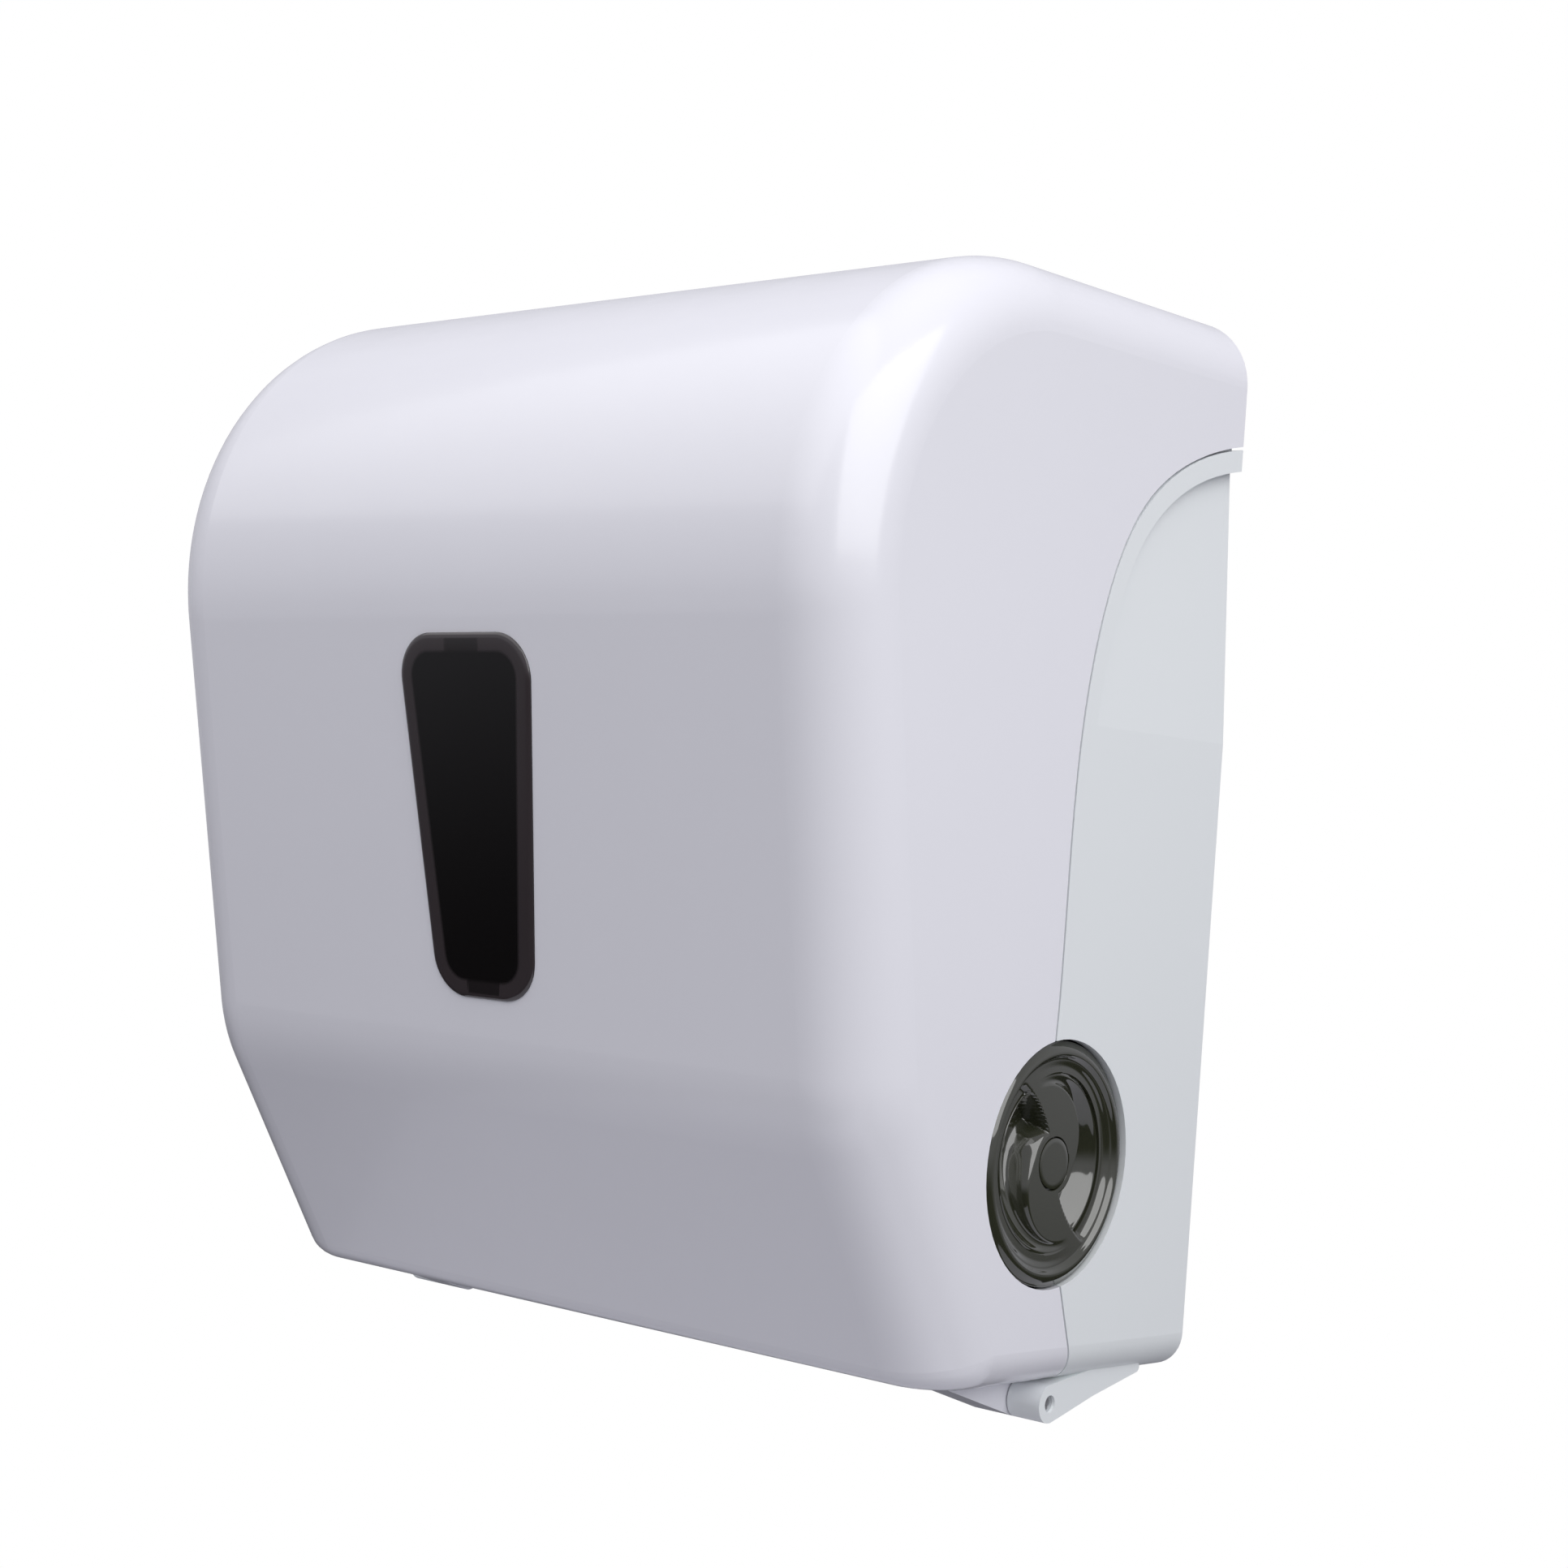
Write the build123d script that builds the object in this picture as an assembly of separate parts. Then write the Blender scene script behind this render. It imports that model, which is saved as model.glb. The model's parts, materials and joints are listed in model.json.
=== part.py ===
from build123d import *
import os
from math import atan2, cos, degrees, hypot, radians, sin, tan

# Wall-hung towel dispenser that cuts the towel as it is pulled. X runs across, the front
# faces -Y, the wall is the plane Y = 0 and Z is up. Heights below are from the foot of the
# cover; everything is moved down by SCREW_CENTRE_Z when written, so the origin is the
# centre of the four wall screws on the wall plane. All sizes are in millimetres.

# case
WIDTH = 280.0
SIDE_TAPER = 7.0
WIDTH_FOOT = WIDTH - SIDE_TAPER
DEPTH = 190.0
TOP_Z = 316.0
TOP_FALL = 1.7
SHOULDER_R = 92.0
FRONT_LEAN = 10.4
KINK_Z = 74.0
KINK_R = 60.0
FOOT_DEPTH = 120.0
REAR_DROP = 5.0
EDGE_R = 22.0
FOOT_R = 11.0
WALL = 3.0
PART_GAP = 0.8
SLIP = 0.4
PAST = 2.0
EXIT_FRONT_Y = -106.0
EXIT_REAR_Y = -84.0
RIB_T = 2.0

# line between cover and housing, seen from the side
PART_TOP_Z = 276.0
PART_BEND_Z = 216.0
PART_FRONT_Y = -81.2
PART_LOW_Y = -70.5
PART_FOOT_Y = -58.0
BEAD_WIDTH = 6.5
BEAD_FADE_Z = 185.0
PANEL_INSET = 4.5
LIP_REACH = 5.0
LIP_WALL = 2.0

# wall screws and back plate
SCREW_PITCH_X = 180.0
SCREW_PITCH_Z = 140.0
SCREW_CENTRE_Z = 195.0
SCREW_HOLE_R = 2.75
SCREW_BOSS_R = 9.0
SCREW_BOSS_RISE = 2.0
BACK_RIB_X = (-60.0, -20.0, 20.0, 60.0)
BACK_RIB_RISE = 1.8

# cover hinge
HINGE_Y = -64.0
HINGE_Z = -8.5
HINGE_R = 5.5
HINGE_PIN_R = 2.5
LUG_INSET = 4.5
LUG_OUT_X = WIDTH_FOOT / 2 - LUG_INSET
LUG_WIDTH = 11.0
KNUCKLE_WIDTH = 13.0
SIDE_PLAY = 0.5
COVER_ARM_Y = -104.0

# window
WINDOW_LOW_Z = 96.0
WINDOW_TOP_Z = 200.0
WINDOW_HALF_TOP = 27.5
WINDOW_HALF_LOW = 20.0
WINDOW_CORNER_R = 13.0
WINDOW_RIM = 4.0
WINDOW_PROUD = 0.9
WINDOW_FLANGE = 3.0
WINDOW_FLANGE_T = 1.5
WINDOW_LENS_T = 1.4
WINDOW_FACE_DROP = 0.2
WINDOW_TAB = (14.0, 7.0)
WINDOW_FIT = 0.15

# lock
LOCK_Y = -24.0
LOCK_R = 8.0
LOCK_HEAD_R = 10.5
LOCK_HEAD_RISE = 1.2
LOCK_DROP = 17.0
TONGUE_LENGTH = 14.0
TONGUE_WIDTH = 8.0
TONGUE_T = 2.5

# drum and knob share one axis
DRUM_Y = -75.0
DRUM_Z = 61.0
DRUM_R = 38.0
DRUM_INSET = 30.5
DRUM_HALF = WIDTH_FOOT / 2 - DRUM_INSET
DRUM_SKIN = 3.0
BAND_PROUD = 0.6
BAND_WIDTH = 9.0
BAND_X = (-84.0, -28.0, 28.0, 84.0)
END_T = 3.0
HALF_TURN = 180.0
SHELL_SPLIT = 0.2
BAND_BACK = 3.0
AXLE_R = 6.0
RUN_FIT = 0.05
KNOB_R = 34.2
KNOB_GAP = 1.0
KNOB_PROUD = 0.5
KNOB_FACE_X = WIDTH_FOOT / 2 + KNOB_PROUD
KNOB_DEPTH = 12.5
KNOB_DISH = 3.0
KNOB_CAP_R = 8.0
KNOB_SCREW_R = 4.0
KNOB_SEAT = 3.0
KNOB_LIP = 1.2
KNOB_HOLLOW = 3.5
KNOB_BAR_TURN = 62.0

# knife: places in the drum's own frame, out along the slot and across it
SLOT_ANGLE = 60.0
SLOT_BACK = -7.0
SLOT_AHEAD = 13.0
KNIFE_PIVOT = (22.0, -20.0)
KNIFE_TIP = (33.6, 6.0)
KNIFE_PIN_R = 3.0
KNIFE_SWING = 22.0
KNIFE_PLAY = 7.0
KNIFE_HALF = DRUM_HALF - KNIFE_PLAY
BLADE_T = 1.0
BLADE_WIDTH = 12.0
TOOTH_PITCH = 4.0
TOOTH_DEPTH = 1.6
FOLLOWER = (8.0, -28.0)
FOLLOWER_R = 4.0
CAM_GAP = 0.4
CAM_RIM = 4.0

# mechanism frame
FRAME_INSET = 20.5
FRAME_IN_X = WIDTH_FOOT / 2 - FRAME_INSET
FRAME_T = 3.0
FRAME_FLANGE = 12.0
BUSH_R = 11.0
BUSH_FLANGE_R = 14.5
TIE_R = 3.5
TIE_UPPER = (-114.0, 91.5)
TIE_LOWER = (-24.0, 24.0)
TIE_NUT = 2.0
GUIDE_R = 46.5
GUIDE_T = 1.8
GUIDE_RIB_X = (-90.0, -45.0, 0.0, 45.0, 90.0)
CHUTE_RIB_X = (-88.0, -44.0, 0.0, 44.0, 88.0)

# pinch roller
PINCH_R = 9.5
PINCH_ANGLE = 140.0
PINCH_GAP = 0.3
PINCH_ARM = 28.0
PINCH_CORE_R = 6.0
PINCH_PIN_R = 3.0
PINCH_INSET = 16.0
PINCH_ARM_X = FRAME_IN_X - PINCH_INSET
PINCH_ARM_T = 3.0

# crank and drive spring
CRANK_R = 24.0
CRANK_T = 3.0
CRANK_THROW = 18.0
CRANK_PIN_R = 2.5
CRANK_INSET = 6.0
CRANK_END_X = WIDTH_FOOT / 2 - CRANK_INSET
ANCHOR_Y = -18.0
ANCHOR_Z = 98.0
SPRING_R = 3.4
SPRING_WIRE = 0.9

# roll holder
ROLL_Y = -93.0
ROLL_Z = 218.0
ROLL_HALF = 100.0
PLUG_R = 18.5
PLUG_LENGTH = 14.0
HUB_FLANGE_R = 24.0
HUB_FLANGE_T = 2.5
HUB_PIN_R = 3.5
ARM_T = 3.5
ARM_BASE_HALF = 20.0
ARM_TIP_R = 13.0
ARM_PIVOT_Y = -13.0
ARM_PIVOT_R = 2.5
BRACKET_T = 3.0
ARM_SCREW_UP = 13.0

# screws
FRAME_SCREW_R = 2.0
SCREW_HEAD_R = 3.6
SCREW_HEAD_T = 2.2
FRAME_SCREW_Z = (26.0, 86.0)
FLANGE_SCREW_IN = 5.0
BLADE_SCREW_X = (-72.0, -24.0, 24.0, 72.0)


# Small helpers

def block(x0, x1, y0, y1, z0, z1):
    size = (abs(x1 - x0), abs(y1 - y0), abs(z1 - z0))
    middle = ((x0 + x1) / 2, (y0 + y1) / 2, (z0 + z1) / 2)
    return Pos(*middle) * Box(*size)


def rod_x(x0, x1, y, z, r):
    return Pos((x0 + x1) / 2, y, z) * Rot(0, 90, 0) * Cylinder(r, abs(x1 - x0))


def rod_y(y0, y1, x, z, r):
    return Pos(x, (y0 + y1) / 2, z) * Rot(90, 0, 0) * Cylinder(r, abs(y1 - y0))


def rod_z(z0, z1, x, y, r):
    return Pos(x, y, (z0 + z1) / 2) * Cylinder(r, abs(z1 - z0))


def slab_x(face, x0, x1):
    """A face drawn as (y, z), given thickness from x0 to x1."""
    low, high = min(x0, x1), max(x0, x1)
    return extrude(Plane.YZ.offset(low) * face, high - low)


def outline(points, radius=0.0):
    face = make_face(Polyline(*points, close=True))
    if radius > 0:
        face = fillet(face.vertices(), radius)
    return face


def link(y0, z0, r0, y1, z1, r1):
    """Outer shape of two discs joined by their tangents, drawn as (y, z)."""
    discs = Pos(y0, z0) * Circle(r0) + Pos(y1, z1) * Circle(r1)
    span = hypot(y1 - y0, z1 - z0)
    along = atan2(z1 - z0, y1 - y0)
    lean = atan2((r0 - r1), (span**2 - (r0 - r1) ** 2) ** 0.5)
    corners = []
    for side in (1, -1):
        angle = along + side * (radians(90) - lean)
        near = (y0 + r0 * cos(angle), z0 + r0 * sin(angle))
        far = (y1 + r1 * cos(angle), z1 + r1 * sin(angle))
        corners += [near, far] if side == 1 else [far, near]
    return discs + make_face(Polyline(*corners, close=True))


def only(part):
    """The single solid of a part."""
    solids = part.solids()
    return max(solids, key=lambda s: s.volume)


# The outer form of the case

def case_lines(inset):
    """Outer lines of the side view as (normal depth, normal height, distance)."""
    fall = radians(TOP_FALL)
    top = (sin(fall), cos(fall), cos(fall) * TOP_Z)
    centre_d = DEPTH - SHOULDER_R
    centre_z = (top[2] - SHOULDER_R - top[0] * centre_d) / top[1]
    lean = radians(FRONT_LEAN)
    front = (cos(lean), -sin(lean), 0.0)
    front = front[:2] + (front[0] * centre_d + front[1] * centre_z + SHOULDER_R,)
    kink_d = (front[2] - front[1] * KINK_Z) / front[0]
    slope = atan2(kink_d - FOOT_DEPTH, KINK_Z)
    chin = (cos(slope), -sin(slope), cos(slope) * FOOT_DEPTH)
    drop = atan2(REAR_DROP, FOOT_DEPTH)
    bottom = (sin(drop), -cos(drop), sin(drop) * FOOT_DEPTH)
    return [(a, b, c - inset) for a, b, c in (top, front, chin, bottom)]


def meet(first, second):
    (a, b, c), (d, e, f) = first, second
    det = a * e - b * d
    return ((c * e - b * f) / det, (a * f - c * d) / det)


def front_depth(z, inset=0.0):
    """Depth of the straight front at a height."""
    a, b, c = case_lines(inset)[1]
    return (c - b * z) / a


def half_width(z):
    share = (z + REAR_DROP) / (TOP_Z + REAR_DROP)
    return (WIDTH_FOOT + (WIDTH - WIDTH_FOOT) * share) / 2


def case_form(inset, rear=0.0):
    """The case as a full solid, set in by a wall; rear is how far it goes past the wall."""
    top, front, chin, bottom = case_lines(inset)
    back = (-1.0, 0.0, rear)
    corners = [meet(back, top), meet(top, front), meet(front, chin), meet(chin, bottom),
               meet(bottom, back)]
    face = make_face(Polyline(*[(-d, z) for d, z in corners], close=True))
    for corner, radius in ((corners[1], SHOULDER_R), (corners[2], KINK_R)):
        spot = Vector(-corner[0], corner[1], 0)
        near = min(face.vertices(), key=lambda v: (Vector(*tuple(v)) - spot).length)
        face = fillet(near, radius - inset)
    low, high = -REAR_DROP - 5, TOP_Z + 5
    sides = [(-half_width(low) + inset, low), (half_width(low) - inset, low),
             (half_width(high) - inset, high), (-half_width(high) + inset, high)]
    wedge = extrude(Plane.XZ.offset(-rear - 5) * outline(sides), DEPTH + rear + 10)
    form = slab_x(face, -WIDTH, WIDTH) & wedge
    form = only(form)
    rims = [e for e in form.edges()
            if abs(e.center().X) > WIDTH / 4 and e.center().Y < rear - 1 and e.center().Z > 1]
    form = fillet(rims, EDGE_R - inset)
    under = form.faces().sort_by(Axis.Z)[0]
    foot = [e for e in under.edges() if e.center().Y < rear - 1]
    return only(fillet(foot, FOOT_R - inset))


def parting_curve():
    """Upper part of the line between cover and housing, from the wall to the knob."""
    return Spline((20, PART_TOP_Z + 3), (-24, PART_TOP_Z - 7), (-54, PART_TOP_Z - 26),
                  (-72, PART_BEND_Z), (-79.5, PART_BEND_Z - 44), (PART_FRONT_Y, DRUM_Z + KNOB_R))


def cover_region(grow=0.0):
    """Side view of all that is in front of the parting line, grown by a margin."""
    curve = parting_curve()
    if grow:
        steps = [n / 8 for n in range(9)]
        sides = [Vector(-(curve % t).Y, (curve % t).X) for t in steps]
        curve = Spline(*[curve @ t + side * grow for t, side in zip(steps, sides)])
    far, low = 3 * DEPTH, -60
    rest = Polyline(curve @ 1, (PART_LOW_Y + grow, DRUM_Z - KNOB_R), (PART_FOOT_Y + grow, -8),
                    (PART_FOOT_Y + grow, low), (-far, low), (-far, 2 * TOP_Z), (40, 2 * TOP_Z),
                    curve @ 0)
    return make_face([curve] + rest.edges())


# Front cover and what it carries

def window_plane():
    middle = (WINDOW_LOW_Z + WINDOW_TOP_Z) / 2
    lean = radians(FRONT_LEAN)
    return Plane(origin=(0, -front_depth(middle), middle), x_dir=(1, 0, 0),
                 z_dir=(0, -cos(lean), -sin(lean)))


def window_outline(grow):
    half = (WINDOW_TOP_Z - WINDOW_LOW_Z) / 2 / cos(radians(FRONT_LEAN)) + grow
    face = outline([(-WINDOW_HALF_LOW - grow, -half), (WINDOW_HALF_LOW + grow, -half),
                    (WINDOW_HALF_TOP + grow, half), (-WINDOW_HALF_TOP - grow, half)],
                   WINDOW_CORNER_R + grow)
    return face


def make_window():
    plane = window_plane()
    back = WALL + WINDOW_FLANGE_T
    body = window_outline(-WINDOW_FIT)
    body = extrude(plane.offset(-back) * body, back + WINDOW_PROUD)
    flange = extrude(plane.offset(-back - 0.1) * window_outline(WINDOW_FLANGE), WINDOW_FLANGE_T)
    room = window_outline(-WINDOW_RIM)
    hollow = extrude(plane.offset(-2 * WALL) * room, 2 * WALL - WINDOW_LENS_T)
    window = body + flange - hollow
    window -= extrude(plane.offset(-WINDOW_FACE_DROP) * room, WALL)
    half = (WINDOW_TOP_Z - WINDOW_LOW_Z) / 2 / cos(radians(FRONT_LEAN))
    for side in (1, -1):
        tab = plane.offset(-back - 1.6) * Pos(0, side * (half + 1)) * Rectangle(*WINDOW_TAB)
        window += extrude(tab, 1.6)
    return only(window)


def make_cover():
    shell = case_form(0) - case_form(WALL, rear=PAST)
    region = slab_x(cover_region(), -WIDTH, WIDTH)
    cover = shell & region
    exit_x = LUG_OUT_X - LUG_WIDTH - KNUCKLE_WIDTH - 3
    cover -= block(-exit_x, exit_x, EXIT_FRONT_Y, 0, -20, 9)
    cover = only(cover)
    # arms that reach back under the case to the hinge
    knuckle_x1 = LUG_OUT_X - LUG_WIDTH - SIDE_PLAY
    arm = link(HINGE_Y, HINGE_Z, HINGE_R, COVER_ARM_Y, 2.0, 2.5)
    arm += outline([(COVER_ARM_Y, 3.5), (COVER_ARM_Y, -0.5), (COVER_ARM_Y - 6, 0.0),
                    (COVER_ARM_Y - 6, 4)])
    for side in (1, -1):
        knuckle = slab_x(arm, side * (knuckle_x1 - KNUCKLE_WIDTH), side * knuckle_x1)
        cover += knuckle
        cover -= rod_x(side * (knuckle_x1 + 0.01), side * (LUG_OUT_X + 1), HINGE_Y, HINGE_Z,
                       HINGE_R + 2)
    cover -= rod_x(-WIDTH / 2, WIDTH / 2, HINGE_Y, HINGE_Z, HINGE_PIN_R + RUN_FIT)
    cover -= rod_x(DRUM_HALF, WIDTH / 2, DRUM_Y, DRUM_Z, KNOB_R + KNOB_GAP)
    plane = window_plane()
    cover -= extrude(plane.offset(-20) * window_outline(0), 40)
    # stiffening ribs across the inside of the front
    inner = case_form(WALL - 0.5, rear=PAST)
    for z in (WINDOW_TOP_Z + 14, WINDOW_LOW_Z - 12):
        core = case_form(WALL + 4, rear=PAST)
        rib = (inner & block(-WIDTH, WIDTH, -DEPTH, DRUM_Y - 30, z - RIB_T / 2, z + RIB_T / 2)) - core
        cover += rib
    cover -= rod_z(TOP_Z - 12, TOP_Z + 5, 0, LOCK_Y, LOCK_R + 0.1)
    return only(cover)


def make_lock_barrel():
    top = TOP_Z + LOCK_Y * tan(radians(TOP_FALL)) + 0.5
    barrel = rod_z(top - LOCK_DROP, top, 0, LOCK_Y, LOCK_R)
    head = rod_z(top, top + LOCK_HEAD_RISE, 0, LOCK_Y, LOCK_HEAD_R)
    head = chamfer(head.edges().group_by(Axis.Z)[-1], 0.5)
    slot = block(-3.5, 3.5, LOCK_Y - 1, LOCK_Y + 1, top - 4, top + 3)
    return only(barrel + head - slot)


def make_lock_tongue():
    top = TOP_Z + LOCK_Y * tan(radians(TOP_FALL)) + 0.5 - LOCK_DROP
    blade = block(-6, TONGUE_LENGTH, LOCK_Y - TONGUE_WIDTH / 2, LOCK_Y + TONGUE_WIDTH / 2,
                  top - TONGUE_T, top)
    blade = fillet(blade.edges().filter_by(Axis.Z), 2.5)
    screw = rod_z(top - TONGUE_T - 1.5, top - TONGUE_T, 0, LOCK_Y, 3)
    return only(blade + screw)


# Rear housing

def make_housing():
    shell = case_form(0) - case_form(WALL, rear=PAST)
    behind = block(-WIDTH, WIDTH, -DEPTH, 0, -40, PART_TOP_Z)
    front = slab_x(cover_region(PART_GAP), -WIDTH, WIDTH)
    housing = (shell & behind) - front
    housing = Part() + housing.solids()
    housing += case_form(WALL + 1) & block(-WIDTH, WIDTH, -WALL, 0, -20, TOP_Z)
    housing += (case_form(WALL - 1) & block(-WIDTH, WIDTH, -WALL, 0, -20, PART_TOP_Z - 8))
    # rim round the top of the back plate, inside the cover
    rim = (case_form(WALL + 1) - case_form(WALL + 3, rear=PAST))
    housing += rim & block(-WIDTH, WIDTH, -9, 0, PART_TOP_Z - 12, TOP_Z)
    # lip that stands behind the edge of the cover and hides the gap
    lip = case_form(WALL + SLIP) - case_form(WALL + SLIP + LIP_WALL, rear=PAST)
    band = slab_x(cover_region(8) - cover_region(-LIP_REACH), -WIDTH, WIDTH)
    lip = (lip & band) & block(-WIDTH, WIDTH, -DEPTH, 1, 8, PART_TOP_Z - 6)
    root = case_form(WALL - 0.5) - case_form(WALL + SLIP + LIP_WALL, rear=PAST)
    root = (root & behind) - front
    root &= slab_x(cover_region(8), -WIDTH, WIDTH)
    housing += lip.solids()
    housing += root.solids()
    # recessed side panels with a bead left along the edge of the cover
    bead = slab_x(cover_region(PART_GAP + BEAD_WIDTH), -WIDTH, WIDTH)
    for side in (1, -1):
        x_low, x_top = half_width(BEAD_FADE_Z), half_width(PART_TOP_Z) - PANEL_INSET
        slab = [(x_low - 2.6, BEAD_FADE_Z), (x_top - 2.6, PART_TOP_Z), (x_top, PART_TOP_Z),
                (x_low, BEAD_FADE_Z)]
        cut = [(x_low, BEAD_FADE_Z), (x_top, PART_TOP_Z + 1), (WIDTH, PART_TOP_Z + 1),
               (WIDTH, BEAD_FADE_Z)]
        slab = [(side * x, z) for x, z in slab]
        cut = [(side * x, z) for x, z in cut]
        floor = extrude(Plane.XZ * outline(slab), DEPTH) - front
        housing += floor
        housing -= extrude(Plane.XZ.offset(-1) * outline(cut), DEPTH) - bead
    # bottom plate between the hinge arms, up to the slot that the towel leaves by
    reach = LUG_OUT_X - LUG_WIDTH - KNUCKLE_WIDTH - 4
    floor = (case_form(0) - case_form(WALL, rear=PAST))
    housing += floor & block(-reach, reach, EXIT_REAR_Y, -50, -20, 5)
    # hinge lugs
    for side in (1, -1):
        x1 = LUG_OUT_X
        arm = link(HINGE_Y, HINGE_Z, HINGE_R, -42, -5.0, 4.0)
        arm += link(-42, -5.0, 4.0, -18, -3.2, 1.6)
        housing += slab_x(arm, side * (x1 - LUG_WIDTH), side * x1)
        housing -= rod_x(side * (x1 - LUG_WIDTH - KNUCKLE_WIDTH - 2), side * (x1 - LUG_WIDTH),
                         HINGE_Y, HINGE_Z, HINGE_R + 1.2)
    housing -= rod_x(-WIDTH / 2, WIDTH / 2, HINGE_Y, HINGE_Z, HINGE_PIN_R)
    housing -= rod_x(DRUM_HALF, WIDTH / 2 + 5, DRUM_Y, DRUM_Z, KNOB_R + KNOB_GAP)
    # wall screw bosses
    for x in (-SCREW_PITCH_X / 2, SCREW_PITCH_X / 2):
        for z in (SCREW_CENTRE_Z - SCREW_PITCH_Z / 2, SCREW_CENTRE_Z + SCREW_PITCH_Z / 2):
            housing += rod_y(-WALL - SCREW_BOSS_RISE, -0.5, x, z, SCREW_BOSS_R)
            housing -= rod_y(-WALL - 5, 1, x, z, SCREW_HOLE_R)
    # blind holes for the screws of the frame and the roll arms
    for x, z in frame_screw_places() + arm_screw_places():
        housing -= rod_y(-WALL - 5, -0.6, x, z, FRAME_SCREW_R)
    # stiffening ribs up the back plate
    for x in BACK_RIB_X:
        housing += block(x - 1, x + 1, -WALL - BACK_RIB_RISE, -1, 120, 270)
    # shelf that the lock tongue turns under
    tongue_top = TOP_Z + LOCK_Y * tan(radians(TOP_FALL)) + 0.5 - LOCK_DROP
    housing += block(-12, 12, -16, -1, tongue_top + 0.5, tongue_top + 3)
    return only(housing)


def make_hinge_pin(side):
    x0 = LUG_OUT_X - LUG_WIDTH - SIDE_PLAY - KNUCKLE_WIDTH - 1
    pin = rod_x(side * x0, side * (LUG_OUT_X - 1), HINGE_Y, HINGE_Z, HINGE_PIN_R)
    return only(pin)


# Mechanism frame

def polar(angle, r):
    """A place round the drum axis; 0 is to the front and 90 is up."""
    return (DRUM_Y - r * cos(radians(angle)), DRUM_Z + r * sin(radians(angle)))


def pinch_centre():
    return polar(PINCH_ANGLE, DRUM_R + PINCH_R + PINCH_GAP)


def pinch_pivot():
    y, z = pinch_centre()
    turn = radians(PINCH_ANGLE)
    return (y - PINCH_ARM * sin(turn), z - PINCH_ARM * cos(turn))


def make_frame(side):
    pivot = pinch_pivot()
    points = [(-WALL, 10), (-WALL, 102), (-34, 110), (pivot[0] + 9, pivot[1] + 9),
              (pivot[0] - 9, pivot[1] + 9), (-98, 108), (-124, 95), (-129, 58), (-114, 7),
              (-40, 7)]
    plate = slab_x(outline(points, 3), side * FRAME_IN_X, side * (FRAME_IN_X + FRAME_T))
    inner = FRAME_IN_X - FRAME_FLANGE
    flange = block(side * inner, side * (FRAME_IN_X + FRAME_T), -WALL, -WALL - 3, 14, 98)
    frame = plate + flange
    frame -= rod_x(0, side * WIDTH, DRUM_Y, DRUM_Z, BUSH_R)
    frame -= rod_x(0, side * WIDTH, pivot[0], pivot[1], PINCH_PIN_R + RUN_FIT)
    for y, z in (TIE_UPPER, TIE_LOWER):
        frame -= rod_x(0, side * WIDTH, y, z, TIE_R - 1)
    for x, z in frame_screw_places():
        if x * side > 0:
            frame -= rod_y(-WALL - 5, -1, x, z, FRAME_SCREW_R)
    if side < 0:
        frame += rod_x(-FRAME_IN_X - 1, -CRANK_END_X, ANCHOR_Y, ANCHOR_Z, CRANK_PIN_R)
    return only(frame)


def frame_screw_places():
    x = FRAME_IN_X - FRAME_FLANGE + FLANGE_SCREW_IN
    return [(side * x, z) for side in (1, -1) for z in FRAME_SCREW_Z]


def screws(places, head_y):
    """Round-headed screws through a flange into the back plate."""
    made = []
    for x, z in places:
        shank = rod_y(head_y, -0.8, x, z, FRAME_SCREW_R)
        head = rod_y(head_y - SCREW_HEAD_T, head_y, x, z, SCREW_HEAD_R)
        head = fillet(head.edges().group_by(Axis.Y)[0], SCREW_HEAD_T * 0.5)
        slot = block(x - 4, x + 4, head_y - SCREW_HEAD_T - 1, head_y - 1.2, z - 0.4, z + 0.4)
        made.append(only(shank + head - slot))
    return made


def make_bush(side):
    x0, x1 = FRAME_IN_X, FRAME_IN_X + FRAME_T
    bush = rod_x(side * x0, side * x1, DRUM_Y, DRUM_Z, BUSH_R)
    bush += rod_x(side * (x0 - 1.5), side * x0, DRUM_Y, DRUM_Z, BUSH_FLANGE_R)
    bush -= rod_x(0, side * WIDTH, DRUM_Y, DRUM_Z, AXLE_R + RUN_FIT)
    return only(bush)


def make_tie(place):
    y, z = place
    out_x = FRAME_IN_X + FRAME_T
    bar = rod_x(-FRAME_IN_X, FRAME_IN_X, y, z, TIE_R)
    bar += rod_x(-out_x - TIE_NUT, out_x + TIE_NUT, y, z, TIE_R - 1)
    for side in (1, -1):
        bar += rod_x(side * out_x, side * (out_x + TIE_NUT), y, z, TIE_R)
    return only(bar)


def ring_sector(r0, r1, from_angle, to_angle, x0, x1):
    """Part of a tube round the drum axis between two angles, 0 to the front and 90 up."""
    mid = (from_angle + to_angle) / 2
    outer = ThreePointArc(polar(from_angle, r1), polar(mid, r1), polar(to_angle, r1))
    inner = ThreePointArc(polar(to_angle, r0), polar(mid, r0), polar(from_angle, r0))
    ends = [Line(polar(to_angle, r1), polar(to_angle, r0)),
            Line(polar(from_angle, r0), polar(from_angle, r1))]
    return slab_x(make_face([outer, ends[0], inner, ends[1]]), x0, x1)


def make_rear_guide():
    guide = ring_sector(GUIDE_R, GUIDE_R + GUIDE_T, 192, 284, -FRAME_IN_X, FRAME_IN_X)
    for x in GUIDE_RIB_X:
        rib = ring_sector(GUIDE_R + GUIDE_T - 0.2, GUIDE_R + GUIDE_T + 3, 200, 245, x - 1, x + 1)
        guide += rib
    return only(guide)


def make_chute():
    plate = [(-125, 60), (-109.5, 6), (-107.5, 6), (-123, 60)]
    chute = slab_x(outline(plate), -FRAME_IN_X, FRAME_IN_X)
    for x in CHUTE_RIB_X:
        rib = [(-124.5, 58), (-109.2, 7), (-113, 7), (-128, 50)]
        chute += slab_x(outline(rib), x - 0.9, x + 0.9)
    return only(chute)


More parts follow.
